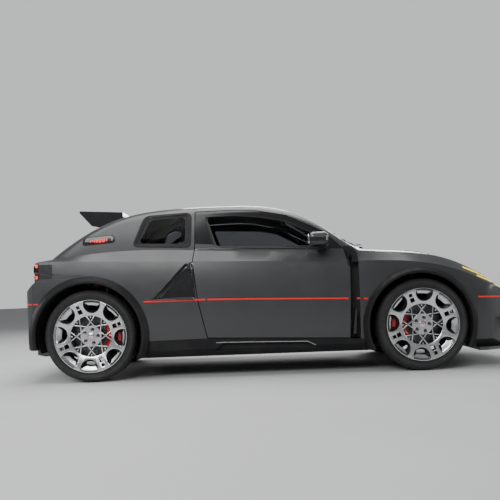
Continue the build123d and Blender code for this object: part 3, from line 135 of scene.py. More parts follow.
class Finish:
    """A material whose grain, wear and bumps are laid over the shader one by one."""

    def __init__(self, name, colour, roughness, metallic=0.0, **sockets):
        self.material = bpy.data.materials.new(name)
        self.material.use_nodes = True
        self.tree = self.material.node_tree
        self.shader = self.tree.nodes["Principled BSDF"]
        self.shader.inputs["Base Color"].default_value = (*colour, 1)
        self.shader.inputs["Roughness"].default_value = roughness
        self.shader.inputs["Metallic"].default_value = metallic
        for socket, value in sockets.items():
            self.shader.inputs[socket.replace("_", " ")].default_value = value
        self.colour = colour
        self.place = self.node("ShaderNodeTexCoord").outputs["Object"]
        self.bump_from = None

    def node(self, kind, **settings):
        made = self.tree.nodes.new(kind)
        for key, value in settings.items():
            setattr(made, key, value)
        return made

    def link(self, source, target):
        self.tree.links.new(source, target)

    def stretched(self, scale, turn=(0, 0, 0), shift=(0, 0, 0)):
        """The object's own coordinates, scaled and turned."""
        mapping = self.node("ShaderNodeMapping")
        mapping.inputs["Scale"].default_value = scale
        mapping.inputs["Rotation"].default_value = turn
        mapping.inputs["Location"].default_value = shift
        self.link(self.place, mapping.inputs["Vector"])
        return mapping.outputs["Vector"]

    def noise(self, scale, detail=3.0, roughness=0.5, where=None):
        made = self.node("ShaderNodeTexNoise")
        made.inputs["Scale"].default_value = scale
        made.inputs["Detail"].default_value = detail
        made.inputs["Roughness"].default_value = roughness
        self.link(where or self.place, made.inputs["Vector"])
        return made.outputs["Fac"]

    def cells(self, scale, feature="F1", where=None):
        made = self.node("ShaderNodeTexVoronoi", feature=feature)
        made.inputs["Scale"].default_value = scale
        self.link(where or self.place, made.inputs["Vector"])
        return made.outputs["Distance"]

    def ranged(self, source, low, high, to_low=0.0, to_high=1.0):
        made = self.node("ShaderNodeMapRange")
        for socket, value in zip(("From Min", "From Max", "To Min", "To Max"), (low, high, to_low, to_high)):
            made.inputs[socket].default_value = value
        self.link(source, made.inputs["Value"])
        return made.outputs["Result"]

    def sums(self, operation, first, second):
        """Math on two fields, or on a field and a number."""
        made = self.node("ShaderNodeMath", operation=operation)
        for socket, value in zip(made.inputs, (first, second)):
            if isinstance(value, (int, float)):
                socket.default_value = value
            else:
                self.link(value, socket)
        return made.outputs[0]

    def within(self, corners, sides_beyond=0.5):
        """1 inside a convex outline seen from the car's side, in millimetres, on both flanks."""
        x, y, z = self.node("ShaderNodeSeparateXYZ").outputs
        self.link(self.place, x.node.inputs[0])
        middle = Vector([sum(values) / len(corners) for values in zip(*corners)])
        inside = self.sums("SUBTRACT", self.sums("ABSOLUTE", y, 0), sides_beyond)
        for start, end in zip(corners, corners[1:] + corners[:1]):
            edge = Vector(end) - Vector(start)
            across = Vector((-edge.y, edge.x)).normalized()
            if across.dot(middle - Vector(start)) < 0:
                across = -across
            reach = self.sums("ADD", self.sums("MULTIPLY", x, across.x), self.sums("MULTIPLY", z, across.y))
            inside = self.sums("MINIMUM", inside, self.sums("SUBTRACT", reach, across.dot(Vector(start)) / 1000))
        return self.sums("GREATER_THAN", inside, 0.0)

    def caliper_share(self):
        """1 on the cast-in calipers: a band about either axle, out by the wheels, away from the carrier's post."""
        x, y, z = self.node("ShaderNodeSeparateXYZ").outputs
        self.link(self.place, x.node.inputs[0])
        from_front = self.sums("ABSOLUTE", self.sums("SUBTRACT", x, AXLE_X["front"]), 0)
        from_rear = self.sums("ABSOLUTE", self.sums("SUBTRACT", x, AXLE_X["rear"]), 0)
        from_axle = self.sums("MINIMUM", from_front, from_rear)
        height = self.sums("SUBTRACT", z, TYRE_R)
        reach = self.sums("SQRT", self.sums("ADD", self.sums("POWER", from_axle, 2),
                                            self.sums("MULTIPLY", height, height)), 0)
        inside = self.sums("MINIMUM", self.sums("SUBTRACT", reach, 0.112), self.sums("SUBTRACT", from_axle, 0.085))
        inside = self.sums("MINIMUM", inside, self.sums("SUBTRACT", self.sums("ABSOLUTE", y, 0), 0.70))
        return self.sums("GREATER_THAN", inside, 0.0)

    def cap_share(self):
        """1 on the outer, upper part of a door mirror."""
        x, y, z = self.node("ShaderNodeSeparateXYZ").outputs
        self.link(self.place, x.node.inputs[0])
        inside = self.sums("MINIMUM", self.sums("SUBTRACT", self.sums("ABSOLUTE", y, 0), 0.885),
                           self.sums("SUBTRACT", z, 1.046))
        return self.sums("GREATER_THAN", inside, 0.0)

    def coat_over(self, share, colour, roughness):
        """Lays another coat, with its own gloss, where share is high."""
        self.tint(share, colour)
        rough = self.shader.inputs["Roughness"]
        mix = self.node("ShaderNodeMix", data_type="FLOAT")
        if rough.links:
            self.link(rough.links[0].from_socket, mix.inputs["A"])
        else:
            mix.inputs["A"].default_value = rough.default_value
        mix.inputs["B"].default_value = roughness
        self.link(share, mix.inputs["Factor"])
        self.link(mix.outputs["Result"], rough)
        return self

    def tint(self, share, colour):
        """Lays a colour over what the base colour is so far, where share is high."""
        mix = self.node("ShaderNodeMix", data_type="RGBA")
        base = self.shader.inputs["Base Color"]
        if base.links:
            self.link(base.links[0].from_socket, mix.inputs["A"])
        else:
            mix.inputs["A"].default_value = (*self.colour, 1)
        mix.inputs["B"].default_value = (*colour, 1)
        self.link(share, mix.inputs["Factor"])
        self.link(mix.outputs["Result"], base)
        return self

    def polish(self, source, low, high, rough_low, rough_high):
        """Roughness that follows a field."""
        self.link(self.ranged(source, low, high, rough_low, rough_high), self.shader.inputs["Roughness"])
        return self

    def worn(self, grain, low, high, most, colour):
        """Another colour in cloudy patches."""
        return self.tint(self.ranged(self.noise(*grain), low, high, 0.0, most), colour)

    def rubbed(self, grain, low, high, rough_low, rough_high):
        """Gloss that changes in cloudy patches."""
        return self.polish(self.noise(*grain), low, high, rough_low, rough_high)

    def grained(self, grain, strength, depth):
        """Cloudy surface relief."""
        return self.bump(self.noise(*grain), strength, depth)

    def bump(self, height, strength, depth):
        """Surface relief, laid over any relief before it."""
        made = self.node("ShaderNodeBump")
        made.inputs["Strength"].default_value = strength
        made.inputs["Distance"].default_value = depth
        self.link(height, made.inputs["Height"])
        if self.bump_from:
            self.link(self.bump_from, made.inputs["Normal"])
        self.bump_from = made.outputs["Normal"]
        self.link(self.bump_from, self.shader.inputs["Normal"])
        return self


# Gloss black round the side windows and at the windscreen pillar's foot: convex outlines in X and Z, millimetres
BLACK_BAND = [
    [(556, 962), (400, 1116), (120, 1257), (-120, 1307), (-600, 1321), (-600, 990), (500, 966)],
    [(585, 820), (664, 820), (664, 905), (640, 985), (550, 985)],
]


def make_finishes():
    """Every finish of the car, by its plain name."""
    made = {}

    for key in ("paint", "side_paint"):
        paint = Finish(f"graphite_satin_{key}", (0.034, 0.035, 0.038), 0.38, 0.4, Coat_Weight=0.4, Coat_Roughness=0.2)
        paint.tint(paint.ranged(paint.cells(900), 0.0, 0.7, 0.45, 0.0), (0.075, 0.078, 0.082))
        paint.tint(paint.ranged(paint.noise(1.6, 4), 0.35, 0.75, 0.0, 0.5), (0.052, 0.051, 0.049))
        paint.polish(paint.noise(7.0, 5), 0.3, 0.75, 0.32, 0.46)
        paint.bump(paint.noise(420, 2), 0.04, 0.0004)
        if key == "side_paint":
            for outline in BLACK_BAND:
                paint.coat_over(paint.within(outline), (0.011, 0.011, 0.012), 0.16)
        made[key] = paint.material

    made["gloss_black"] = (Finish("gloss_black_panel", (0.010, 0.010, 0.011), 0.10, 0.0, Coat_Weight=0.6,
                                  Coat_Roughness=0.05)
                           .rubbed((9.0, 4), 0.3, 0.8, 0.07, 0.20)
                           .grained((60, 3), 0.02, 0.0005)).material

    trim = Finish("grained_black_plastic", (0.010, 0.010, 0.011), 0.6, 0.0, Specular_IOR_Level=0.2)
    trim.tint(trim.ranged(trim.noise(5, 5), 0.45, 0.8, 0.0, 0.7), (0.024, 0.023, 0.022))
    trim.polish(trim.noise(24, 4), 0.3, 0.75, 0.46, 0.68)
    trim.bump(trim.cells(700), 0.22, 0.0006)
    made["trim"] = trim.material

    weave = Finish("dark_carbon_weave", (0.012, 0.012, 0.013), 0.32, 0.0, Coat_Weight=0.7, Coat_Roughness=0.08)
    slant = weave.stretched((230, 230, 230), (0.0, 0.0, math.radians(45)))
    checks = weave.node("ShaderNodeTexChecker")
    checks.inputs["Scale"].default_value = 1.0
    weave.link(slant, checks.inputs["Vector"])
    weave.tint(checks.outputs["Fac"], (0.040, 0.041, 0.043))
    weave.bump(checks.outputs["Fac"], 0.10, 0.0004)
    weave.tint(weave.ranged(weave.noise(3, 4), 0.55, 0.85, 0.0, 0.5), (0.05, 0.048, 0.044))
    made["weave"] = weave.material

    made["underbody"] = (Finish("underbody_sheet", (0.022, 0.022, 0.023), 0.75)
                         .worn((3, 6), 0.45, 0.8, 0.8, (0.050, 0.046, 0.041))
                         .grained((90, 5), 0.3, 0.001)).material

    made["glass"] = (Finish("smoked_window_glass", (0.27, 0.275, 0.285), 0.02, 0.0, Transmission_Weight=1.0, IOR=1.14)
                     .rubbed((14, 5), 0.35, 0.85, 0.012, 0.05)).material

    made["rim"] = (Finish("machined_bright_rim", (0.66, 0.67, 0.68), 0.22, 0.95)
                   .rubbed((30, 6, 0.6), 0.3, 0.8, 0.15, 0.32)
                   .worn((9, 5), 0.5, 0.85, 0.6, (0.36, 0.35, 0.34))
                   .grained((260, 4), 0.06, 0.0005)).material

    # Dark grey, also laid on the rim's pocket walls, where it is partly painted shade.
    made["pocket"] = (Finish("cast_grey_pocket", (0.030, 0.031, 0.033), 0.42, 0.6)
                      .worn((12, 5), 0.4, 0.8, 0.8, (0.055, 0.055, 0.056))
                      .grained((320, 4), 0.12, 0.0006)).material

    made["tyre"] = (Finish("tyre_rubber", (0.0115, 0.0115, 0.012), 0.72)
                    .worn((8, 6), 0.45, 0.85, 0.9, (0.030, 0.028, 0.026))
                    .rubbed((40, 5), 0.3, 0.8, 0.58, 0.86)
                    .grained((500, 4), 0.25, 0.0006)).material

    made["steel"] = (Finish("turned_steel", (0.42, 0.42, 0.43), 0.28, 1.0)
                     .rubbed((60, 5), 0.3, 0.8, 0.20, 0.42)
                     .worn((18, 5), 0.5, 0.85, 0.6, (0.24, 0.22, 0.20))
                     .grained((400, 3), 0.05, 0.0004)).material

    made["disc"] = (Finish("worn_brake_disc", (0.13, 0.13, 0.132), 0.34, 0.9)
                    .rubbed((70, 5), 0.3, 0.8, 0.26, 0.46)
                    .worn((20, 5), 0.5, 0.85, 0.7, (0.075, 0.068, 0.062))
                    .grained((420, 3), 0.05, 0.0004)).material

    made["cast"] = (Finish("cast_alloy", (0.20, 0.205, 0.21), 0.5, 0.8)
                    .worn((12, 6), 0.4, 0.8, 0.8, (0.12, 0.115, 0.105))
                    .grained((180, 5), 0.3, 0.0012)).material

    made["chassis"] = (Finish("black_coated_steel", (0.024, 0.024, 0.025), 0.5, 0.3)
                       .worn((14, 6), 0.5, 0.85, 0.7, (0.07, 0.062, 0.052))
                       .grained((240, 4), 0.2, 0.0008)).material

    carrier = Finish("black_steel_and_red_caliper", (0.024, 0.024, 0.025), 0.5, 0.3)
    carrier.tint(carrier.ranged(carrier.noise(14, 6), 0.5, 0.85, 0.0, 0.7), (0.07, 0.062, 0.052))
    carrier.coat_over(carrier.caliper_share(), (0.60, 0.012, 0.010), 0.30)
    carrier.bump(carrier.noise(240, 4), 0.2, 0.0008)
    made["carrier"] = carrier.material

    shell = Finish("mirror_black_with_light_cap", (0.012, 0.012, 0.013), 0.14, 0.0, Coat_Weight=0.5,
                   Coat_Roughness=0.08)
    shell.tint(shell.ranged(shell.noise(12, 5), 0.45, 0.85, 0.0, 0.6), (0.022, 0.022, 0.023))
    shell.coat_over(shell.cap_share(), (0.055, 0.056, 0.058), 0.24)
    shell.bump(shell.noise(300, 3), 0.04, 0.0004)
    made["mirror_shell"] = shell.material

    made["cage"] = (Finish("cage_enamel", (0.16, 0.162, 0.168), 0.42, 0.1)
                    .rubbed((20, 4), 0.3, 0.8, 0.34, 0.52)
                    .grained((200, 4), 0.15, 0.0006)).material

    soft = Finish("soft_dark_trim", (0.020, 0.020, 0.021), 0.8, 0.0, Sheen_Weight=0.25)
    soft.tint(soft.ranged(soft.noise(6, 5), 0.45, 0.85, 0.0, 0.6), (0.036, 0.035, 0.034))
    soft.bump(soft.cells(420), 0.35, 0.0007)
    made["soft"] = soft.material

    cloth = Finish("woven_seat_cloth", (0.024, 0.024, 0.026), 0.92, 0.0, Sheen_Weight=0.5)
    threads = cloth.node("ShaderNodeTexWave", wave_type="BANDS", bands_direction="DIAGONAL")
    threads.inputs["Scale"].default_value = 420
    threads.inputs["Distortion"].default_value = 1.2
    cloth.link(cloth.place, threads.inputs["Vector"])
    cloth.tint(cloth.ranged(threads.outputs["Fac"], 0.2, 0.9, 0.0, 0.6), (0.060, 0.060, 0.063))
    cloth.bump(threads.outputs["Fac"], 0.35, 0.0006)
    cloth.tint(cloth.ranged(cloth.noise(7, 5), 0.5, 0.85, 0.0, 0.5), (0.046, 0.044, 0.042))
    made["cloth"] = cloth.material

    made["red"] = (Finish("red_caliper_enamel", (0.62, 0.012, 0.010), 0.30, 0.0, Coat_Weight=0.5, Coat_Roughness=0.1)
                   .worn((22, 5), 0.5, 0.85, 0.6, (0.36, 0.010, 0.008))
                   .grained((160, 4), 0.12, 0.0006)).material

    made["lamp"] = (Finish("dark_lamp_lens", (0.030, 0.030, 0.033), 0.08, 0.0, Coat_Weight=1.0, Coat_Roughness=0.03)
                    .worn((40, 4), 0.4, 0.8, 0.6, (0.055, 0.055, 0.06))
                    .grained((90, 3), 0.03, 0.0005)).material

    for key, colour, strength in (("red_light", (1.0, 0.020, 0.012), 1.5), ("amber_light", (1.0, 0.66, 0.0), 1.5),
                                  ("red_stripe", (0.80, 0.010, 0.008), 0.45)):
        light = Finish(key, tuple(value * 0.7 for value in colour), 0.25, Emission_Strength=strength)
        light.shader.inputs["Emission Color"].default_value = (*colour, 1)
        light.tint(light.ranged(light.noise(60, 4), 0.4, 0.8, 0.0, 0.7), tuple(value * 0.45 for value in colour))
        light.bump(light.noise(200, 3), 0.08, 0.0004)
        made[key] = light.material

    made["bright"] = (Finish("satin_light_metal", (0.42, 0.425, 0.43), 0.30, 0.85)
                      .rubbed((18, 5), 0.3, 0.8, 0.22, 0.40)
                      .worn((10, 5), 0.5, 0.85, 0.5, (0.28, 0.28, 0.28))
                      .grained((240, 4), 0.06, 0.0005)).material

    made["mirror"] = (Finish("silvered_mirror", (0.82, 0.83, 0.85), 0.03, 1.0)
                      .rubbed((14, 5), 0.4, 0.85, 0.02, 0.07)).material

    made["rubber"] = (Finish("black_rubber_seal", (0.010, 0.010, 0.010), 0.62)
                      .worn((14, 5), 0.45, 0.85, 0.8, (0.022, 0.021, 0.020))
                      .grained((260, 4), 0.15, 0.0005)).material

    webbing = Finish("belt_webbing", (0.30, 0.006, 0.006), 0.85, 0.0, Sheen_Weight=0.4)
    weft = webbing.node("ShaderNodeTexWave", wave_type="BANDS", bands_direction="DIAGONAL")
    weft.inputs["Scale"].default_value = 300
    webbing.link(webbing.place, weft.inputs["Vector"])
    webbing.tint(webbing.ranged(weft.outputs["Fac"], 0.2, 0.9, 0.0, 0.6), (0.44, 0.012, 0.010))
    webbing.bump(weft.outputs["Fac"], 0.3, 0.0004)
    made["webbing"] = webbing.material
    return made


finishes = make_finishes()

NODE_FINISH = {
    "paint": "rear_bumper front_wings front_bumper headlamps bonnet tailgate",
    "gloss_black": "rear_spoiler",
    "mirror_shell": "mirror_left mirror_right",
    "side_paint": "roof_frame rear_body door_left door_right",
    "trim": "arch_flares sills side_intakes",
    "soft": "dashboard steering_wheel",
    "weave": "rear_diffuser front_splitter",
    "underbody": "floor_pan inner_body",
    "glass": "windscreen quarter_windows tailgate_glass door_glass_left door_glass_right",
    "steel": "exhaust",
    "cage": "roll_cage",
    "cloth": "seats",
    "chassis": "grille",
    "carrier": "front_suspension rear_suspension knuckle_front_left knuckle_front_right",
    "cast": "engine_block",
    "lamp": "tail_lamps",
    "rim": "wheel_front_left wheel_front_right wheel_rear_left wheel_rear_right",
    "tyre": "tyre_front_left tyre_front_right tyre_rear_left tyre_rear_right",
}


def finish_frame():
    """Merges each CAD node's loose triangles with a modifier, smooths its rounds and gives it its finish."""
    for finish, names in NODE_FINISH.items():
        for name in names.split():
            piece = nodes[name]
            piece.data.materials.clear()
            piece.data.materials.append(finishes[finish])
            piece.data.polygons.foreach_set("use_smooth", [True] * len(piece.data.polygons))
            weld = piece.modifiers.new("merge", "WELD")
            weld.merge_threshold = 0.00002
            split = piece.modifiers.new("keep_edges", "EDGE_SPLIT")
            split.split_angle = math.radians(28)


def pale_floor():
    """Round pale floor, far wider than the car."""
    bpy.ops.object.select_all(action="DESELECT")
    bpy.ops.mesh.primitive_circle_add(vertices=96, radius=45, fill_type="NGON", location=(0, 0, 0))
    floor = bpy.context.object
    floor.name = "studio_floor"
    matt = Finish("pale_studio_floor", (0.56, 0.565, 0.57), 0.75)
    matt.tint(matt.ranged(matt.noise(1.4, 6), 0.35, 0.8, 0.0, 0.4), (0.50, 0.50, 0.50))
    matt.bump(matt.noise(60, 5), 0.1, 0.002)
    floor.data.materials.append(matt.material)


# ---- Hand tools ----

MARKS = [finishes["paint"], finishes["trim"], finishes["steel"]]   # hold a face's mark until finished() swaps them

def unselect():
    """Leaves edit mode and selects nothing."""
    if bpy.context.object and bpy.context.object.mode != "OBJECT":
        bpy.ops.object.mode_set(mode="OBJECT")
    bpy.ops.object.select_all(action="DESELECT")


def edit():
    bpy.ops.object.mode_set(mode="EDIT")


def leave():
    bpy.ops.object.mode_set(mode="OBJECT")


def select(action="SELECT"):
    bpy.ops.mesh.select_all(action=action)


def outward():
    """Turns every face of the piece being edited outwards."""
    select()
    bpy.ops.mesh.normals_make_consistent(inside=False)


def only(piece):
    """Selects one piece alone and makes it the active one."""
    unselect()
    piece.select_set(True)
    bpy.context.view_layer.objects.active = piece
    return piece


def settle(piece):
    """Moves a piece's place, turn and scale into its mesh."""
    only(piece)
    bpy.ops.object.transform_apply(location=True, rotation=True, scale=True)
    return piece


def box(name, low, high, turn=None):
    """Cuboid between two corners, which may be turned about its middle."""
    unselect()
    middle = [(a + b) / 2 for a, b in zip(low, high)]
    bpy.ops.mesh.primitive_cube_add(size=1, location=middle, rotation=turn or (0, 0, 0))
    piece = bpy.context.object
    piece.name = name
    piece.scale = [abs(b - a) for a, b in zip(low, high)]
    return settle(piece)


def rod(name, start, end, radius, sides=24, end_radius=None):
    """Round bar or cone between two points."""
    start, end = Vector(start), Vector(end)
    unselect()
    bpy.ops.mesh.primitive_cone_add(vertices=sides, radius1=radius,
                                    radius2=radius if end_radius is None else end_radius,
                                    depth=(end - start).length, location=(start + end) / 2,
                                    rotation=(end - start).to_track_quat("Z", "Y").to_euler())
    piece = bpy.context.object
    piece.name = name
    return settle(piece)


def pick(piece, test):
    """Opens a piece for editing with only the vertices that pass the test selected."""
    only(piece)
    edit()
    bpy.ops.mesh.select_mode(type="VERT")
    select("DESELECT")
    leave()
    for vertex in piece.data.vertices:
        vertex.select = bool(test(vertex.co))
    edit()


def work(piece, kind, **settings):
    """Puts one modifier on a piece and applies it."""
    only(piece)
    made = piece.modifiers.new("work", kind)
    for key, value in settings.items():
        setattr(made, key, value)
    bpy.ops.object.modifier_apply(modifier=made.name)
    return piece


def bevelled(piece, width, segments=2, angle=35):
    """Rounds the sharp edges."""
    return work(piece, "BEVEL", width=width, segments=segments, limit_method="ANGLE",
                angle_limit=math.radians(angle), harden_normals=False)


def cut_by(piece, *tools):
    """Cuts the tools out of a piece and clears them away."""
    tool = joined("cutter", tools)
    work(piece, "BOOLEAN", operation="DIFFERENCE", object=tool, solver="EXACT")
    bpy.data.objects.remove(tool)
    return piece


def joined(name, pieces):
    """Several pieces in one, with their faces' marks kept."""
    pieces = list(pieces)
    if any(piece.data.materials for piece in pieces):
        for piece in pieces:
            if not piece.data.materials:
                piece.data.materials.append(MARKS[0])
    unselect()
    for piece in pieces:
        piece.select_set(True)
    bpy.context.view_layer.objects.active = pieces[0]
    if len(pieces) > 1:
        bpy.ops.object.join()
    pieces[0].name = name
    return pieces[0]


def copied(piece, matrix=None, name=None):
    """A copy with its own mesh, moved by a matrix."""
    twin = piece.copy()
    twin.data = piece.data.copy()
    bpy.context.scene.collection.objects.link(twin)
    if matrix is not None:
        twin.data.transform(matrix)
        if matrix.determinant() < 0:
            only(twin)
            edit()
            select()
            bpy.ops.mesh.flip_normals()
            leave()
    if name:
        twin.name = name
    return twin


ACROSS = Matrix.Scale(-1, 4, (0, 1, 0))


def placed(piece, place, degrees=0, axis="Y"):
    """Turns a piece modelled at the origin about an axis and moves it to its place."""
    piece.data.transform(Matrix.Translation(place) @ Matrix.Rotation(math.radians(degrees), 4, axis))
    return piece


def around_axis(piece, count, axis="Y", step=None, name=None):
    """The piece and its copies set round an axis through the origin, in one mesh."""
    step = step or 2 * math.pi / count
    copies = [piece] + [copied(piece, Matrix.Rotation(step * index, 4, axis)) for index in range(1, count)]
    return joined(name or piece.name, copies)


def turned(name, profile, steps=96, axis="Y"):
    """A profile of (radius, place along the axis), extruded point by point and spun round the axis."""
    about = (0, 1, 0) if axis == "Y" else (0, 0, 1)
    piece = chain(name, [(radius, along, 0) if axis == "Y" else (radius, 0, along) for radius, along in profile])
    edit()
    select()
    bpy.ops.mesh.spin(steps=steps, angle=2 * math.pi, center=(0, 0, 0), axis=about)
    select()
    bpy.ops.mesh.remove_doubles(threshold=0.00001)
    bpy.ops.mesh.normals_make_consistent(inside=False)
    leave()
    return piece


def spaced(points, step):
    """The same line with a point at least every step."""
    line = [points[0]]
    for start, end in zip(points, points[1:]):
        count = max(1, math.ceil(math.dist(start, end) / step))
        line += [tuple(a + (b - a) * index / count for a, b in zip(start, end)) for index in range(1, count + 1)]
    return line


def rounded(points, radius, steps=5):
    """Closed outline with its corners rounded off."""
    line = []
    count = len(points)
    for index, corner in enumerate(points):
        before, after = Vector(points[index - 1]), Vector(points[(index + 1) % count])
        corner = Vector(corner)
        reach = min(radius, (before - corner).length * 0.48, (after - corner).length * 0.48)
        start = corner + (before - corner).normalized() * reach
        end = corner + (after - corner).normalized() * reach
        for step in range(steps + 1):
            share = step / steps
            line.append(tuple(start * (1 - share) ** 2 + corner * 2 * share * (1 - share) + end * share ** 2))
    return line


def chain(name, points, closed=False):
    """Edges from point to point, extruded one after another."""
    unselect()
    bpy.ops.mesh.primitive_plane_add(size=0.001, location=points[0])
    piece = bpy.context.object
    piece.name = name
    settle(piece)
    edit()
    bpy.ops.mesh.select_mode(type="VERT")
    select()
    bpy.ops.mesh.merge(type="CENTER")
    before = Vector(points[0])
    for point in points[1:]:
        bpy.ops.mesh.extrude_region_move(TRANSFORM_OT_translate={"value": Vector(point) - before})
        before = Vector(point)
    select()
    if closed:
        bpy.ops.mesh.edge_face_add()
    leave()
    return piece


def facing(piece, direction):
    """Turns an open sheet's faces towards a direction."""
    only(piece)
    edit()
    outward()
    leave()
    if sum(face.normal.dot(Vector(direction)) * face.area for face in piece.data.polygons) < 0:
        edit()
        select()
        bpy.ops.mesh.flip_normals()
        leave()
    return piece


def make_skins():
    """Copies of the CAD panels, in groups, only to lay strips on; they are cleared away at the end."""
    groups = {
        "shell": "roof_frame rear_body rear_bumper front_wings front_bumper headlamps sills windscreen "
                 "quarter_windows side_intakes tail_lamps rear_diffuser",
        "door": "door_right door_glass_right",
        "tail": "tailgate tailgate_glass",
        "hood": "bonnet",
    }
    skins = {}
    for key, names in groups.items():
        skins[key] = joined(f"skin_{key}", [copied(nodes[name]) for name in names.split()])
    return skins


def mend_gaps(piece, along, start, step=0.010):
    """Points that fell through a gap between panels take their place from their neighbours."""
    points = piece.data.vertices
    beside = {vertex.index: [] for vertex in points}
    for edge in piece.data.edges:
        first, second = edge.vertices
        beside[first].append(second)
        beside[second].append(first)
    value = [vertex.co[along] for vertex in points]
    lost = {index for index, here in enumerate(value) if abs(here - start) < 0.0001 or here * start < 0}
    for index in beside:
        near = sorted(value[other] for other in beside[index] if other not in lost)
        if index not in lost and near and abs(value[index]) < abs(near[len(near) // 2]) - step:
            lost.add(index)
    while lost:
        known = {index: [value[other] for other in beside[index] if other not in lost] for index in lost}
        found = {index: sum(near) / len(near) for index, near in known.items() if near}
        if not found:
            break
        for index, here in found.items():
            value[index] = here
            lost.remove(index)
    for vertex in points:
        vertex.co[along] = value[vertex.index]


def laid_on(piece, target, axis, lift=0.0006, thick=0.002):
    """Drops a sheet along an axis onto a skin and gives it thickness outwards."""
    piece = facing(piece, axis)
    along = [abs(value) for value in axis].index(max(abs(value) for value in axis))
    settings = {f"use_project_{letter}": letter == "xyz"[along] for letter in "xyz"}
    start = piece.data.vertices[0].co[along]
    work(piece, "SHRINKWRAP", target=skins[target], wrap_method="PROJECT", wrap_mode="ABOVE_SURFACE", offset=lift,
         use_negative_direction=True, use_positive_direction=True, **settings)
    mend_gaps(piece, along, start)
    facing(piece, axis)
    return work(piece, "SOLIDIFY", thickness=thick, offset=1)


def side_ribbon(name, line, height, target, lift=0.6, thick=2.0, rows=1, step=30):
    """Strip along a line of (X, Z) points on the right flank, in millimetres."""
    points = [(x / 1000, -OFF_SIDE, (z + height / 2) / 1000) for x, z in spaced(line, step)]
    piece = chain(name, points)
    edit()
    for _ in range(rows):
        bpy.ops.mesh.extrude_region_move(TRANSFORM_OT_translate={"value": (0, 0, -height / rows / 1000)})
    leave()
    return laid_on(piece, target, (0, -1, 0), lift / 1000, thick / 1000)


def sheet_piece(name, points, step, cut_axes):
    """Flat closed outline, divided so that it can follow a curved panel."""
    piece = chain(name, points, closed=True)
    edit()
    for axis in cut_axes:
        low = min(point[axis] for point in points)
        high = max(point[axis] for point in points)
        count = max(1, math.ceil((high - low) / step))
        normal = [0, 0, 0]
        normal[axis] = 1
        for index in range(1, count):
            spot = [0, 0, 0]
            spot[axis] = low + (high - low) * index / count
            select()
            bpy.ops.mesh.bisect(plane_co=spot, plane_no=normal)
    leave()
    return piece


def finished(piece, finish, body="body_shell", smooth=35, replaces=()):
    """Gives a piece its finish, or two by its faces' marks, smooths its rounds and lets it ride on its body."""
    marks = [face.material_index for face in piece.data.polygons]
    piece.data.materials.clear()
    for name in finish.split():
        piece.data.materials.append(finishes[name])
    if len(finish.split()) > 1:
        piece.data.polygons.foreach_set("material_index", marks)
    only(piece)
    bpy.ops.object.shade_smooth_by_angle(angle=math.radians(smooth))
    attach(piece, body)
    if replaces:
        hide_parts(*replaces)
    return piece


def mark_faces(piece, test, mark=1):
    """Marks the faces that pass the test for the piece's second or third finish."""
    while len(piece.data.materials) <= mark:
        piece.data.materials.append(MARKS[len(piece.data.materials)])
    for face in piece.data.polygons:
        if test(face):
            face.material_index = mark
    return piece


# ---- Wheels ----

LATTICE_STEP = 45
LUG_CIRCLE_R = 0.054
LUG_TURNS = [104 + 72 * step for step in range(5)]
WHEEL_PLACES = {f"{axle}_{name}": (x, side) for axle, x in AXLE_X.items() for name,
                side in (("left", 1), ("right", -1))}


def on_face(radius, degrees, y=0.0):
    """Point on the wheel's face, in the wheel's own frame with the outside towards +Y."""
    angle = math.radians(degrees)
    return Vector((radius * math.cos(angle), y, radius * math.sin(angle)))


def pocket_cutter(degrees):
    """Funnel from a round mouth on the face to an oblong window at the back."""
    unselect()
    bpy.ops.mesh.primitive_circle_add(vertices=40, radius=0.0690, location=(0.2445, 0.1200, 0),
                                      rotation=(math.radians(90), 0, 0))
    mouth = settle(bpy.context.object)
    unselect()
    bpy.ops.mesh.primitive_circle_add(vertices=40, radius=0.0600, location=(0.2400, 0.0880, 0),
                                      rotation=(math.radians(90), 0, 0))
    step = settle(bpy.context.object)
    unselect()
    bpy.ops.mesh.primitive_circle_add(vertices=40, radius=1, location=(0, 0, 0), rotation=(math.radians(90), 0, 0))
    window = settle(bpy.context.object)
    for vertex in window.data.vertices:
        reach = max(abs(vertex.co.x), abs(vertex.co.z)) ** 0.8
        vertex.co = Vector((0.223 + vertex.co.x / reach * 0.021, 0.044, vertex.co.z / reach * 0.030))
    funnel = joined("funnel", [mouth, step, window])
    edit()
    select()
    bpy.ops.mesh.bridge_edge_loops()
    select("DESELECT")
    bpy.ops.mesh.select_non_manifold()
    bpy.ops.mesh.edge_face_add()
    select()
    bpy.ops.mesh.fill_holes(sides=0)
    bpy.ops.mesh.normals_make_consistent(inside=False)
    leave()
    funnel.data.transform(Matrix.Rotation(-math.radians(degrees), 4, "Y"))
    return funnel


def square_cutter(radius, size, degrees):
    """Tapered square hole through the face."""
    unselect()
    bpy.ops.mesh.primitive_cone_add(vertices=4, radius1=size * 0.5, radius2=size * 0.74, depth=0.090,
                                    location=(0, 0, 0), rotation=(0, 0, math.radians(45)))
    tool = settle(bpy.context.object)
    tool.data.transform(Matrix.Rotation(math.radians(-90), 4, "X"))
    placed(tool, (radius, 0.085, 0))
    tool.data.transform(Matrix.Rotation(-math.radians(degrees), 4, "Y"))
    return tool


def make_rim_face():
    """Thick face ring with eight funnel pockets in pairs and four pairs of square holes."""
    face = turned("rim_face", [(0.1585, 0.0915), (0.1585, 0.0580), (0.2570, 0.0460), (0.2570, 0.0980),
                               (0.2735, 0.1120),
                               (0.2735, 0.1150), (0.2690, 0.1155), (0.1655, 0.0940), (0.1585, 0.0915)], steps=128)
    tools = []
    for quarter in range(4):
        for side in (-1, 1):
            tools.append(pocket_cutter(113.5 + 90 * quarter + side * 19.4))
        tools.append(square_cutter(0.201, 0.036, 68.2 + 90 * quarter))
        tools.append(square_cutter(0.240, 0.027, 68.2 + 90 * quarter))
    for tool in tools:
        cut_by(face, tool)
    # Faces that turn away from the wheel's face take the dark pocket finish: partly the dark pockets of a
    # machined-face rim, partly painted shade on the pocket walls.
    mark_faces(face, lambda f: f.normal.y < 0.8)
    return bevelled(face, 0.0012, 2, 50)


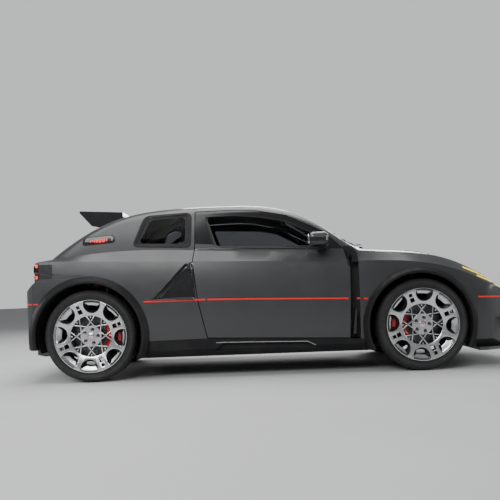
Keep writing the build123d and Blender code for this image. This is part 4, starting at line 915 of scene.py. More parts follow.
def make_barrel():
    """Rim barrel with a rolled lip and three fine steps inside it."""
    return turned("rim_barrel", [
        (0.2800, 0.1180), (0.2820, 0.1160), (0.2820, 0.1110), (0.2660, 0.1050), (0.2660, 0.0720), (0.2440, 0.0520),
        (0.2440, -0.0420), (0.2660, -0.0740), (0.2660, -0.1050), (0.2820, -0.1110), (0.2820, -0.1160),
        (0.2800, -0.1180), (0.2740, -0.1180), (0.2580, -0.0980), (0.2580, -0.0780), (0.2360, -0.0460),
        (0.2360, 0.0480), (0.2400, 0.0500), (0.2400, 0.0580), (0.2460, 0.0600), (0.2460, 0.0680), (0.2520, 0.0700),
        (0.2520, 0.0790), (0.2580, 0.0810), (0.2580, 0.0975), (0.2740, 0.1125), (0.2755, 0.1180),
        (0.2800, 0.1180)], steps=128)


def make_lattice():
    """Sixteen ribs that cross in pairs between the hub and the face ring, over a lower layer of thin webs."""
    ribs = []
    for step in range(8):
        middle = LATTICE_STEP * step
        for side in (-1, 1):
            crossing = on_face(0.112, middle)
            outer = on_face(0.165, middle + side * 13)
            along = (outer - crossing).normalized()
            inner = crossing - along * 0.063
            centre = (outer + inner) / 2
            length = (outer - inner).length
            rib = box("rib", (-length / 2, -0.010, -0.0058), (length / 2, 0.010, 0.0058))
            pick(rib, lambda co: co.y > 0)
            bpy.ops.transform.resize(value=(1, 1, 0.66))
            leave()
            bevelled(rib, 0.0011, 2, 30)
            turn = Matrix.Rotation(-math.atan2(along.z, along.x), 4, "Y")
            rib.data.transform(Matrix.Translation((centre.x, 0.0795, centre.z)) @ turn)
            ribs.append(rib)
            web = box("web", (-length / 2, -0.012, -0.0025), (length / 2, 0.012, 0.0025))
            web.data.transform(Matrix.Translation((centre.x, 0.060, centre.z)) @ turn)
            ribs.append(web)
        tie = box("tie", (-0.012, -0.006, -0.0045), (0.012, 0.006, 0.0045))
        bevelled(tie, 0.001, 2, 30)
        tie.data.transform(Matrix.Translation(on_face(0.154, middle,
                                                      0.078)) @ Matrix.Rotation(-math.radians(middle), 4, "Y"))
        ribs.append(tie)
    return joined("rim_lattice", ribs)


def make_hub():
    """Stepped hub with five deep lug seats."""
    hub = turned("rim_hub", [(0.0, 0.0880), (0.036, 0.0880), (0.038, 0.0900), (0.0790, 0.0900), (0.0810, 0.0880),
                             (0.0810, 0.0680), (0.0640, 0.0560), (0.0735, 0.0230), (0.0, 0.0230)], steps=80)
    seats = [rod("seat", on_face(LUG_CIRCLE_R, turn, 0.066), on_face(LUG_CIRCLE_R, turn, 0.1), 0.0145,
                 28) for turn in LUG_TURNS]
    cut_by(hub, *seats)
    return bevelled(hub, 0.0010, 2, 50)


def make_lug_nuts():
    """Five six-sided nuts with domed heads, down in their seats."""
    nuts = []
    for turn in LUG_TURNS:
        centre = on_face(LUG_CIRCLE_R, turn)
        nut = rod("nut", (centre.x, 0.066, centre.z), (centre.x, 0.080, centre.z), 0.0105, 6)
        bevelled(nut, 0.0012, 2, 40)
        dome = turned("dome", [(0.0, 0.0835), (0.0035, 0.0828), (0.0060, 0.0810), (0.0068, 0.0785)], steps=20)
        placed(dome, (centre.x, 0, centre.z))
        nuts += [nut, dome]
    return joined("lug_nuts", nuts)


def make_centre_cap():
    """Plain domed cap in a seat, with a groove for its coloured ring."""
    return turned("centre_cap", [(0.0, 0.0962), (0.010, 0.0958), (0.018, 0.0946), (0.0225, 0.0930), (0.0225, 0.0915),
                                 (0.0260, 0.0915), (0.0260, 0.0940), (0.0285, 0.0935), (0.0295, 0.0915),
                                 (0.0295, 0.0870)], steps=64)


def make_cap_ring():
    """Thin ring in the cap's groove."""
    return turned("cap_ring", [(0.0227, 0.0916), (0.0229, 0.0944), (0.0243, 0.0950), (0.0257, 0.0944),
                               (0.0259, 0.0916)], steps=64)


def make_disc():
    """Brake disc with drilled faces, a vent gap with vanes, and its hat."""
    plates = []
    for y in (-0.038, -0.022):
        plate = turned("plate", [(0.118, y), (0.1885, y), (0.190, y + 0.0015), (0.190, y + 0.0085),
                                 (0.1885, y + 0.010),
                                 (0.118, y + 0.010), (0.118, y)], steps=96)
        plates.append(plate)
    disc = joined("plates", plates)
    drills = []
    for step in range(24):
        for row, radius in enumerate((0.134, 0.151, 0.168)):
            spot = on_face(radius, 15 * step + row * 5.5)
            drills.append(rod("drill", (spot.x, -0.05, spot.z), (spot.x, 0.0, spot.z), 0.0030, 8))
    cut_by(disc, *drills)
    vane = box("vane", (0.120, -0.028, -0.0015), (0.186, -0.022, 0.0015))
    vanes = around_axis(vane, 40, name="vanes")
    hat = turned("hat", [(0.118, -0.0215), (0.080, -0.0215), (0.074, -0.0150), (0.074, 0.0190), (0.070, 0.0225),
                         (0.0, 0.0225)], steps=64)
    return joined("brake_disc", [disc, vanes, hat])


def make_caliper_shell():
    """Ribbed shell over the outboard side of a caliper, four pistons deep."""
    outer, inner, low, high = 0.222, 0.118, 0.0155, 0.0235
    shell = turned("caliper_shell", [(inner, low), (outer + 0.003, low), (outer + 0.003, high - 0.004),
                                     (outer - 0.008, high),
                                     (inner + 0.006, high), (inner, high - 0.004), (inner, low)], steps=96)
    keep = box("keep", (0.094, 0.0, -0.088), (0.3, 0.05, 0.088))
    work(shell, "BOOLEAN", operation="INTERSECT", object=keep, solver="EXACT")
    bpy.data.objects.remove(keep)
    bevelled(shell, 0.0022, 3, 40)
    bosses = []
    for degrees, radius in ((-17, 0.166), (-6, 0.176), (6, 0.176), (17, 0.166)):
        boss = turned("boss", [(0.0, 0.0275), (0.0135, 0.0275), (0.0155, 0.0255), (0.0155, 0.020)], steps=28)
        placed(boss, on_face(radius, degrees))
        bosses.append(boss)
    for degrees in (-23, -11.5, 0, 11.5, 23):
        rib = box("rib", (0.128, 0.022, -0.0022), (0.214, 0.0265, 0.0022))
        bevelled(rib, 0.0010, 2)
        rib.data.transform(Matrix.Rotation(math.radians(degrees), 4, "Y"))
        bosses.append(rib)
    return joined("caliper_shell", [shell] + bosses)


def make_valve():
    """Valve stem with its cap, near the lip."""
    spot = on_face(0.250, 246)
    stem = rod("stem", (spot.x, 0.060, spot.z), (spot.x * 0.965, 0.088, spot.z * 0.965), 0.0032, 14)
    cap = rod("valve_cap", (spot.x * 0.965, 0.086, spot.z * 0.965), (spot.x * 0.952, 0.098, spot.z * 0.952), 0.0046,
              12)
    bevelled(cap, 0.0008, 2)
    return joined("tyre_valve", [stem, cap])


def make_carcass():
    """Tyre with ringed sidewalls, rounded shoulders and three deep grooves round the tread."""
    side = [(0.2670, 0.1000), (0.2845, 0.1080), (0.2870, 0.1115), (0.2905, 0.1130), (0.2935, 0.1120),
            (0.2965, 0.1150),
            (0.3040, 0.1205), (0.3060, 0.1200), (0.3075, 0.1220), (0.3150, 0.1255), (0.3230, 0.1262),
            (0.3290, 0.1258),
            (0.3305, 0.1240), (0.3325, 0.1238), (0.3340, 0.1225), (0.3420, 0.1160), (0.3470, 0.1080),
            (0.3492, 0.0990),
            (0.3500, 0.0880)]
    grooves = [(0.3500, 0.0700), (0.3420, 0.0680), (0.3420, 0.0580), (0.3500, 0.0560), (0.3500, 0.0080),
               (0.3420, 0.0060)]
    half = side + grooves
    profile = half + [(radius, -along) for radius, along in reversed(half)]
    profile += [(0.2670, -0.0900), (0.3300, -0.1050), (0.3380, 0.0), (0.3300, 0.1050), (0.2670, 0.0900),
                (0.2670, 0.1000)]
    return turned("tyre_carcass", profile, steps=120)


def make_tread():
    """One pitch of tread blocks with their sipes, copied round the tyre."""
    blocks = []
    for y_low, y_high, lean, shift in ((-0.118, -0.074, 9, 0.35), (-0.054, -0.010, -14, 0.0), (0.010, 0.054, 14, 0.5),
                                       (0.074, 0.118, -9, 0.85)):
        top = 0.0058 if abs(y_low + y_high) < 0.1 else 0.0056
        for cut in (0, 1):
            block = box("block", (-0.0135 + cut * 0.0142, y_low, 0), (-0.0007 + cut * 0.0142, y_high, top))
            block.data.transform(Matrix.Rotation(math.radians(lean), 4, "Z"))
            if max(abs(y_low), abs(y_high)) > 0.1:
                sign = 1 if y_low > 0 else -1
                for vertex in block.data.vertices:
                    if vertex.co.y * sign > 0.095:
                        vertex.co.z -= 0.0085 if vertex.co.z > 0.003 else 0.0095
                        vertex.co.y -= sign * (0.004 if vertex.co.z > -0.004 else 0.0)
            placed(block, (0, 0, 0.3498))
            block.data.transform(Matrix.Rotation(shift * 2 * math.pi / 60, 4, "Y"))
            blocks.append(block)
    pitch = joined("pitch", blocks)
    bevelled(pitch, 0.0009, 1, 40)
    return around_axis(pitch, 60, name="tread_blocks")


def make_shoulder_blocks():
    """Raised tiles on the outer sidewall: two staggered rows in three arcs."""
    pieces = []
    for arc in (18, 138, 258):
        for step in range(16):
            for row, radius in enumerate((0.3185, 0.3255)):
                tile = box("tile", (-0.0058, 0.1235, -0.0030), (0.0058, 0.1274, 0.0030))
                degrees = arc + step * 3.1 + row * 1.55
                placed(tile, (0, 0, radius))
                tile.data.transform(Matrix.Rotation(math.radians(degrees), 4, "Y"))
                pieces.append(tile)
    tiles = joined("sidewall_tiles", pieces)
    return bevelled(tiles, 0.0007, 1, 40)


def build_wheels():
    """One wheel and tyre, modelled at the origin and copied to the four corners."""
    # The laced rim's second finish darkens its pocket walls: partly their own dark colour, partly painted shade.
    kit = [
        (joined("laced_rim", [make_rim_face(), make_barrel(), make_lattice(), make_hub()]), "rim pocket", "wheel",
         "rim_silver"),
        (make_lug_nuts(), "chassis", None, None),
        (make_centre_cap(), "rim", None, "rim_silver"),
        (make_cap_ring(), "red", None, None),
        (make_disc(), "disc", None, None),
        (make_valve(), "trim", None, None),
        (joined("road_tyre", [make_carcass(), make_tread(), make_shoulder_blocks()]), "tyre", "tyre", "tyre"),
    ]
    shell = make_caliper_shell()
    for corner, (x, side) in WHEEL_PLACES.items():
        turn = Matrix.Identity(4) if side > 0 else Matrix.Rotation(math.pi, 4, "Z")
        place = Matrix.Translation((x, side * HUB_Y, TYRE_R)) @ turn
        for piece, finish, stands_for, slot in kit:
            twin = copied(piece, place, f"{piece.name}_{corner}")
            finished(twin, finish, f"wheel_{corner}", 32, [f"{stands_for}_{corner}"] if stands_for else ())
        front = corner.startswith("front")
        towards = -1 if front else 1
        half_turn = Matrix.Rotation(math.pi if towards * side < 0 else 0, 4, "Y")
        twin = copied(shell, place @ half_turn, f"caliper_shell_{corner}")
        finished(twin, "red", f"knuckle_{corner}" if front else "body_shell", 35)
    for piece, finish, stands_for, slot in kit:
        bpy.data.objects.remove(piece)
    bpy.data.objects.remove(shell)


# ---- Trim laid on the body's skin ----

def on_both(piece, finish, body="body_shell", smooth=35):
    """Finishes a piece modelled on the car's right and its mirror image on the left."""
    name = piece.name
    twin = copied(piece, ACROSS, f"{name}_left")
    piece.name = f"{name}_right"
    for made, side in ((piece, "right"), (twin, "left")):
        finished(made, finish, body.format(side=side), smooth)


def spread(outline, count=96):
    """The same closed outline with evenly spaced points."""
    points = [Vector(point) for point in outline] + [Vector(outline[0])]
    lengths = [0.0]
    for start, end in zip(points, points[1:]):
        lengths.append(lengths[-1] + (end - start).length)
    line = []
    index = 0
    for step in range(count):
        want = lengths[-1] * step / count
        while lengths[index + 1] < want:
            index += 1
        share = (want - lengths[index]) / max(1e-9, lengths[index + 1] - lengths[index])
        line.append(tuple(points[index].lerp(points[index + 1], share)))
    return line


def scaled(outline, amount):
    """Outline grown by moving each point away from the middle."""
    middle = Vector([sum(values) / len(outline) for values in zip(*outline)])
    grown = []
    for point in outline:
        away = Vector(point) - middle
        grown.append(tuple(Vector(point) + away.normalized() * amount))
    return grown


# From each side: where a drawn (U, V) point starts, which way it is dropped, and the two axes of the drawing
SPOTS = {
    "right": (lambda u, v: (u / 1000, -OFF_SIDE, v / 1000), (0, -1, 0), (0, 2)),
    "cabin": (lambda u, v: (u / 1000, -0.6 * OFF_SIDE, v / 1000), (0, -0.6, 0), (0, 2)),
    "rear": (lambda u, v: (-2.1, u / 1000, v / 1000), (-1, 0, 0), (1, 2)),
    "front": (lambda u, v: (2.1, u / 1000, v / 1000), (1, 0, 0), (1, 2)),
    "top": (lambda u, v: (u / 1000, v / 1000, 1.6), (0, 0, 1), (0, 1)),
}


def plate_on(name, outline, target, side, lift=0.6, thick=2.5, step=40):
    """Plate of a flat outline laid on a skin from one side of the car, in millimetres."""
    spot, direction, axes = SPOTS[side]
    piece = sheet_piece(name, [spot(u, v) for u, v in outline], step / 1000, axes)
    return laid_on(piece, target, direction, lift / 1000, thick / 1000)


def frame_on(name, outer, inner, target, side, lift=0.6, thick=2.5, rows=2, count=120):
    """Frame between two flat outlines laid on a skin from one side of the car."""
    spot, direction, _ = SPOTS[side]
    outer, inner = spread(outer, count), spread(inner, count)
    ring = chain(name, [spot(u, v) for u, v in outer + outer[:1]])
    for row in range(1, rows + 1):
        edit()
        bpy.ops.mesh.extrude_region_move()
        leave()
        newest = [vertex for vertex in ring.data.vertices if vertex.select]
        for vertex, start, end in zip(newest, outer + outer[:1], inner + inner[:1]):
            vertex.co = spot(*Vector(start).lerp(Vector(end), row / rows))
    edit()
    select()
    bpy.ops.mesh.remove_doubles(threshold=0.00001)
    leave()
    return laid_on(ring, target, direction, lift / 1000, thick / 1000)


def build_stripe():
    """Red line along the flank under a black strip that is painted shadow in its groove, with a bare place where a
    small flag was.
    """
    runs = [
        ("shell", "body_shell", "stripe_rear", [(-1925, 616), (-1800, 614)]),
        ("shell", "body_shell", "stripe_quarter", [(-1000, 606), (-880, 606), (-527, 606)]),
        ("door", "door_{side}", "stripe_door", [(-511, 606), (-183, 599), (572, 577)]),
        ("shell", "body_shell", "stripe_wing", [(638, 574), (664, 572)]),
        ("shell", "body_shell", "stripe_wing_end", [(692, 571), (722, 570)]),
        ("shell", "body_shell", "stripe_nose", [(1570, 553), (1700, 550), (1850, 545)]),
    ]
    for target, body, name, line in runs:
        # The black strip just above the red line is painted shadow of the groove's upper edge, given the black rubber
        # finish.
        groove = side_ribbon(f"{name}_groove", [(x, z + 8) for x, z in line], 7, target, 0.3, 1.0)
        on_both(groove, "rubber", body)
        strip = side_ribbon(name, line, 12, target, 0.4, 2.2)
        bevelled(strip, 0.0007, 1, 50)
        on_both(strip, "red_stripe", body)


def build_window_trim():
    """Frames of the side windows: a broad rounded black one at the rear quarter, a slim one on the door."""
    quarter = [(-652, 1030), (-648, 1292), (-985, 1276), (-1075, 1048)]
    outer = rounded(scaled(quarter, 26), 52, 6)
    inner = rounded(scaled(quarter, -24), 46, 6)
    on_both(frame_on("quarter_frame", outer, inner, "shell", "right", 0.5, 2.4, 4, 96), "trim")
    line = rounded(scaled(quarter, -27), 44, 6)
    inside = rounded(scaled(quarter, -33), 42, 6)
    on_both(frame_on("quarter_line", line, inside, "shell", "right", 0.4, 0.8, 1, 96), "pocket")
    glass = [(452, 988), (392, 1062), (118, 1207), (-120, 1258), (-300, 1266), (-520, 1262), (-440, 1014)]
    outer = rounded(scaled(glass, 9), 20, 3)
    inner = rounded(scaled(glass, -12), 20, 3)
    on_both(frame_on("door_glass_seal", outer, inner, "door", "right", 0.4, 2.0, 2, 96), "rubber", "door_{side}")
    belt = side_ribbon("belt_moulding", [(-598, 996), (-440, 1003), (0, 985), (455, 967)], 9, "door", 0.4, 2.6)
    bevelled(belt, 0.0009, 2, 50)
    on_both(belt, "gloss_black", "door_{side}")


def build_pillar_display():
    """Rounded dark display in the rear pillar with its bars of red light."""
    outline = [(-1492, 1066), (-1480, 1124), (-1246, 1141), (-1234, 1082)]
    plate = plate_on("pillar_display", rounded(outline, 32, 6), "shell", "right", 0.5, 3.0, 30)
    bevelled(plate, 0.0012, 2, 50)
    on_both(plate, "gloss_black")
    frame = frame_on("display_rim", rounded(scaled(outline, 5), 36, 6), rounded(scaled(outline, -3), 30, 6), "shell",
                     "right", 0.6, 4.6, 1, 96)
    bevelled(frame, 0.0010, 2, 50)
    on_both(frame, "trim")
    marks = []
    place = -1430
    for width, tall, lift in ((9, 15, 0), (14, 9, 1), (9, 26, 0), (18, 24, 0), (22, 27, 0), (22, 27, 0), (13, 18, 2)):
        middle = 1097 + (place + 1364) * 0.06 + lift
        slab = plate_on("mark", [(place, middle - tall / 2), (place + 3, middle + tall / 2),
                                 (place + width, middle + tall / 2 + 1), (place + width - 3, middle - tall / 2)],
                        "shell", "right", 3.7, 0.8, 60)
        marks.append(slab)
        if width > 16:
            gap = plate_on("mark_gap", [(place + 7, middle - 3), (place + 7, middle + 3),
                                        (place + width - 6, middle + 3), (place + width - 6, middle - 3)], "shell",
                           "right", 4.0, 0.9, 60)
            on_both(joined(f"display_gap_{abs(place)}", [gap]), "gloss_black")
        place += width + 5
    on_both(joined("display_marks", marks), "red_light")


def build_side_intake():
    """Black frame of the side intake, broad along its slanting edge, where the broad black is painted shadow of the
    intake's lip and inner wall.
    """
    outer = [(-612, 897), (-668, 897), (-940, 624), (-936, 611), (-602, 603)]
    inner = [(-630, 852), (-664, 845), (-866, 634), (-862, 630), (-622, 630)]
    # The broad band along the slanting edge is painted shadow under the intake's lip.
    frame = frame_on("side_intake_frame_and_lip_shadow", rounded(outer, 12, 3), rounded(inner, 12, 3), "shell", "right", 0.5, 3.2, 3,
                     96)
    bevelled(frame, 0.0010, 2, 50)
    on_both(frame, "gloss_black")


def build_front_lights():
    """Slanting amber lights on the front wing, the first under a black edge."""
    streaks = [
        ([(1496, 787), (1600, 746), (1668, 718)], 14, True),
        ([(1592, 716), (1660, 692), (1728, 664)], 12, False),
        ([(1734, 642), (1776, 623)], 8, False),
    ]
    for index, (line, tall, hooded) in enumerate(streaks):
        if hooded:
            hood = side_ribbon(f"light_hood_{index}", [(x - 4, z + tall / 2 + 4) for x, z in line], 8, "shell", 0.3,
                               1.8, 5, 12)
            on_both(hood, "gloss_black")
        strip = side_ribbon(f"amber_light_{index}", line, tall, "shell", 0.4, 1.2, 8, 12)
        on_both(strip, "amber_light")


def build_mirror_glass():
    """Mirror glass in its bezel, on the rear of the housing."""
    x, y, z = 0.350 - 0.075, -0.948, 1.036
    glass = box("mirror_glass", (x - 0.003, y - 0.056, z - 0.034), (x + 0.004, y + 0.060, z + 0.036))
    bevelled(glass, 0.0012, 2, 30)
    on_both(glass, "mirror", "door_{side}")


# ---- Seats and belts ----

def extruded(name, outline, low, high):
    """Solid of an outline in (X, Z) between two Y planes, in millimetres."""
    piece = chain(name, [(x / 1000, low / 1000, z / 1000) for x, z in outline], closed=True)
    edit()
    select()
    bpy.ops.mesh.extrude_region_move(TRANSFORM_OT_translate={"value": (0, (high - low) / 1000, 0)})
    outward()
    leave()
    return piece


def smooth_line(points, steps=6):
    """Points along a smooth line through the given ones."""
    points = [Vector(point) for point in points]
    ends = [2 * points[0] - points[1]] + points + [2 * points[-1] - points[-2]]
    line = []
    for index in range(1, len(ends) - 2):
        a, b, c, d = ends[index - 1:index + 3]
        for step in range(steps):
            t = step / steps
            bend = (2 * a - 5 * b + 4 * c - d) * t ** 2 + (3 * b - a - 3 * c + d) * t ** 3
            line.append(0.5 * (2 * b + (c - a) * t + bend))
    return line + [points[-1]]


def swollen(piece, cap, voxel=0.007):
    """Blows a cushion up as a cloth cover, holds back points that go too far, and smooths it."""
    work(piece, "REMESH", mode="VOXEL", voxel_size=voxel)
    before = [vertex.co.copy() for vertex in piece.data.vertices]
    only(piece)
    cover = piece.modifiers.new("cover", "CLOTH")
    cover.settings.effector_weights.gravity = 0
    cover.settings.use_pressure = True
    cover.settings.uniform_pressure_force = 4
    for frame_number in range(1, 21):
        bpy.context.scene.frame_set(frame_number)
    bpy.ops.object.modifier_apply(modifier="cover")
    bpy.context.scene.frame_set(1)
    for vertex, start in zip(piece.data.vertices, before):
        moved = vertex.co - start
        if moved.length > cap:
            vertex.co = start + moved.normalized() * cap
    work(piece, "SMOOTH", factor=0.5, iterations=3)
    return work(piece, "SUBSURF", levels=1, render_levels=1)


def channelled(piece, direction, places, up, width=0.007, depth=0.007):
    """Presses sewn channels into the side of a cushion that faces up."""
    direction, up = Vector(direction).normalized(), Vector(up).normalized()
    moves = []
    for vertex in piece.data.vertices:
        share = vertex.normal.dot(up)
        if share > 0.15:
            along = vertex.co.dot(direction)
            press = max(math.exp(-((along - place) / width) ** 2) for place in places)
            moves.append((vertex, vertex.normal * (-depth * press * min(1.0, share * 1.6))))
    for vertex, move in moves:
        vertex.co += move
    return piece


def strap(name, points, across, thick=0.0018):
    """Flat webbing along a smooth line, as wide as across."""
    across = Vector(across)
    piece = chain(name, [point - across / 2 for point in smooth_line(points)])
    edit()
    for _ in range(2):
        bpy.ops.mesh.extrude_region_move(TRANSFORM_OT_translate={"value": across / 2})
    outward()
    leave()
    work(piece, "SOLIDIFY", thickness=thick, offset=0)
    return bevelled(piece, 0.0005, 1, 60)


SEAT_SHELL = [(68, 216), (92, 348), (57, 374), (-306, 319), (-464, 870), (-503, 926), (-573, 924), (-588, 878),
              (-439, 262),
              (-379, 216)]
SEAT_POCKET = [(58, 232), (-372, 232), (-428, 300), (-574, 884), (-560, 960), (200, 960), (200, 420), (74, 348)]
BACK_ALONG = Vector((-0.260, 0.966))
BACK_REAR = Vector((-0.966, -0.260))


def on_back(up, rear):
    """Place in the seat back: up along it and rearwards from its front, in millimetres."""
    spot = Vector((-345, 275)) + BACK_ALONG * up + BACK_REAR * rear
    return tuple(spot)


def make_seat_shell():
    """Hollow bucket with rolled edges and belt slots."""
    shell = extruded("seat_bucket", SEAT_SHELL, -249, 249)
    bevelled(shell, 0.010, 3, 30)
    cut_by(shell, extruded("pocket", SEAT_POCKET, -236, 236))
    slots = [extruded("slot", [on_back(482, -30), on_back(482, 140), on_back(512, 140), on_back(512, -30)], low,
                      low + 62)
             for low in (-122, 60)]
    cut_by(shell, *slots)
    for side in (-1, 1):
        low, high = sorted((side * 225, side * 260))
        cut_by(shell, extruded("side_slot", rounded([(-330, 300), (-250, 300), (-262, 334), (-342, 340)], 10, 3), low,
                               high))
    return bevelled(shell, 0.002, 2, 40)


def make_seat_pads():
    """Cushions of one seat: base, back, head pad and the bolsters."""
    base = extruded("seat_base_cushion", rounded([(52, 246), (56, 318), (-322, 262), (-340, 246)], 14, 3), -188, 188)
    swollen(bevelled(base, 0.016, 3, 60), 0.024)
    channelled(base, (1, 0, 0), (-0.045, -0.125, -0.205), (0, 0, 1))
    channelled(base, (0, 1, 0), (-0.135, 0.135), (0, 0, 1), 0.006, 0.006)
    back = extruded("seat_back_cushion", rounded([on_back(18, 10), on_back(468, 10), on_back(466, 56),
                                                  on_back(30, 62)], 16, 3),
                    -186, 186)
    swollen(bevelled(back, 0.016, 3, 60), 0.024)
    front = (0.966, 0, 0.260)
    upward = Vector((BACK_ALONG.x, 0, BACK_ALONG.y))
    foot = Vector((-0.345, 0, 0.275)).dot(upward)
    channelled(back, upward, [foot + up for up in (0.105, 0.195, 0.285, 0.375)], front)
    channelled(back, (0, 1, 0), (-0.130, 0.130), front, 0.006, 0.006)
    head = extruded("seat_head_pad", rounded([on_back(528, 10), on_back(606, 12), on_back(640, 36), on_back(636, 62),
                                              on_back(526, 62)], 14, 3), -118, 118)
    swollen(bevelled(head, 0.014, 3, 60), 0.014, 0.006)
    channelled(head, (0, 1, 0), (0.0,), front, 0.006, 0.005)
    pads = [base, back, head]
    side_back = extruded("seat_shoulder_bolster", rounded([(-330, 352), (-460, 812), (-478, 850), (-520, 852),
                                                           (-380, 318)], 18, 3),
                         204, 233)
    side_base = extruded("seat_thigh_bolster", rounded([(52, 330), (48, 366), (-286, 318), (-318, 296), (-322, 276)],
                                                       12, 3),
                         204, 233)
    for piece in (side_back, side_base):
        swollen(bevelled(piece, 0.010, 3, 60), 0.010, 0.006)
        pads += [piece, copied(piece, ACROSS, f"{piece.name}_b")]
    return pads


def make_belts():
    """Five-point harness: shoulder and lap straps, crotch strap, round buckle and adjusters."""
    straps = []
    metal = []
    for side in (-1, 1):
        line = [(-0.664, side * 0.088, 0.872), (-0.600, side * 0.088, 0.822)]
        line += [(x / 1000, side * y, z / 1000) for (x, z), y in (
            (on_back(497, 40), 0.088), (on_back(492, -10), 0.088), (on_back(440, -20), 0.082),
                                                                  (on_back(240, -30), 0.066),
            (on_back(90, -42), 0.040))]
        line += [(-0.262, side * 0.026, 0.340)]
        straps.append(strap("belt", line, (0, 0.050, 0)))
        lap = [(-0.318, side * 0.230, 0.318), (-0.300, side * 0.185, 0.330), (-0.262, side * 0.110, 0.338),
               (-0.240, side * 0.030, 0.336)]
        straps.append(strap("belt", lap, (0.044, 0, 0.018)))
        x, z = on_back(330, -33)
        frame_plate = box("adjuster", (x / 1000 - 0.004, side * 0.073 - 0.031, z / 1000 - 0.020),
                          (x / 1000 + 0.004, side * 0.073 + 0.031, z / 1000 + 0.020), (0, math.radians(-15), 0))
        hole = box("hole", (x / 1000 - 0.02, side * 0.073 - 0.022, z / 1000 + 0.003),
                   (x / 1000 + 0.02, side * 0.073 + 0.022, z / 1000 + 0.012), (0, math.radians(-15), 0))
        metal.append(bevelled(cut_by(frame_plate, hole), 0.0012, 2))
    straps.append(strap("belt", [(-0.030, 0, 0.322), (-0.110, 0, 0.324), (-0.200, 0, 0.336), (-0.236, 0, 0.340)],
                        (0, 0.046, 0)))
    hub = rod("buckle", (-0.252, 0, 0.338), (-0.242, 0, 0.356), 0.030, 32)
    cap = rod("buckle_cap", (-0.2425, 0, 0.3555), (-0.2395, 0, 0.361), 0.020, 32)
    metal += [bevelled(hub, 0.003, 3, 40), bevelled(cap, 0.0015, 2, 40)]
    return joined("harness_belts", straps), joined("belt_fittings", metal)


def build_seats():
    """Both seats with their pads, rails and belts, one model copied to the two places."""
    rails = []
    for y in (-0.190, 0.190):
        rail = box("rail", (-0.358, y - 0.018, 0.1875), (0.038, y + 0.018, 0.2145))
        groove = box("rail_groove", (-0.37, y - 0.006, 0.204), (0.05, y + 0.006, 0.22))
        rails.append(bevelled(cut_by(rail, groove), 0.0015, 2))
        for x in (-0.330, 0.010):
            rails.append(bevelled(rod("rail_bolt", (x, y, 0.1880), (x, y, 0.2100), 0.0055, 6), 0.0006, 1))
    kit = [(make_seat_shell(), "weave", "trim_shell"), (joined("seat_rails", rails), "chassis", None)]
    kit += [(pad, "cloth", "pad") for pad in make_seat_pads()]
    belts, fittings = make_belts()
    kit += [(belts, "webbing", None), (fittings, "steel", None)]
    for side, place in (("left", 0.370), ("right", -0.370)):
        for piece, finish, kind in kit:
            twin = copied(piece, Matrix.Translation((0, place, 0)), f"{piece.name}_{side}")
            stands_for = ["seats"] if kind == "trim_shell" and side == "left" else ()
            finished(twin, finish, "body_shell", 40, stands_for)
    for piece, finish, kind in kit:
        bpy.data.objects.remove(piece)


# ---- Cabin ----

COLUMN = Matrix((( 0, 0.3746, 0.9272, 0.120), (1, 0, 0, 0.370), (0, 0.9272, -0.3746, 0.850), (0, 0, 0, 1)))


def make_wheel_grip():
    """Steering wheel's rim with a stitched seam and a pale mark at the top."""
    section = [(0.170 + 0.0135 * math.cos(turn), 0.0125 * math.sin(turn))
               for turn in [2 * math.pi * step / 20 for step in range(21)]]
    grip = turned("steering_grip", section, 96, "Z")
    stitches = []
    for step in range(120):
        spin = 2 * math.pi * step / 120
        place = Vector((0.157 * math.cos(spin), 0.157 * math.sin(spin), 0))
        along = Vector((-math.sin(spin), math.cos(spin), 0.35)) * 0.0026
        stitches.append(rod("stitch", place - along, place + along, 0.0008, 5))
    mark = box("mark", (-0.010, 0.1555, -0.0135), (0.010, 0.1845, 0.0135))
    return grip, joined("grip_stitches", stitches), bevelled(mark, 0.003, 2)


def make_wheel_spokes():
    """Three drilled spokes on a bolted boss with its quick-release collar."""
    plates = []
    for degrees in (0, 180, 270):
        plate = box("spoke", (0.030, -0.018, -0.004), (0.160, 0.018, 0.004))
        holes = [rod("hole", (place, 0, -0.02), (place, 0, 0.02), radius, 24)
                 for place, radius in ((0.072, 0.010), (0.100, 0.0085), (0.126, 0.007))]
        plate = bevelled(cut_by(plate, *holes), 0.0012, 2)
        plates.append(copied(plate, Matrix.Rotation(math.radians(degrees), 4, "Z")))
        bpy.data.objects.remove(plate)
    boss = turned("boss", [(0.0, -0.020), (0.030, -0.020), (0.036, -0.014), (0.041, -0.010), (0.041, 0.010),
                           (0.036, 0.015),
                           (0.026, 0.018), (0.026, 0.060), (0.015, 0.064), (0.0, 0.064)], 48, "Z")
    shaft = rod("shaft", (0, 0, 0.060), (0, 0, 0.152), 0.0135, 24)
    bolts = around_axis(bevelled(rod("bolt", (0.030, 0, -0.0235), (0.030, 0, -0.010), 0.0038, 6), 0.0005, 1), 6, "Z")
    return joined("steering_spokes", plates), joined("steering_boss", [boss, shaft]), bolts


def build_steering_wheel():
    """Steering wheel in the column's frame, moved to its place."""
    grip, stitches, mark = make_wheel_grip()
    spokes, boss, bolts = make_wheel_spokes()
    mark.name = "grip_mark"
    bolts.name = "boss_bolts"
    for piece, finish in ((grip, "soft"), (stitches, "webbing"), (mark, "bright"), (spokes, "chassis"),
                          (boss, "cast"),
                          (bolts, "steel")):
        piece.data.transform(COLUMN)
        finished(piece, finish, "steering_wheel", 40,
                 ["steering_wheel"] if piece is grip else ())


def air_vent(y, z, x):
    """Round air vent that faces the seats, with its slats."""
    ring = turned("vent", [(0.026, -0.004), (0.034, -0.006), (0.037, -0.001), (0.036, 0.006), (0.028, 0.006),
                           (0.026, -0.004)],
                  40, "Z")
    slats = [bevelled(box("slat", (-0.0255, step * 0.010 - 0.0012, -0.001), (0.0255, step * 0.010 + 0.0012, 0.005)),
                      0.0006, 1)
             for step in (-2, -1, 0, 1, 2)]
    vent = joined("vent", [ring] + slats)
    placed(vent, (x, y, z), -90 - 24)
    return vent


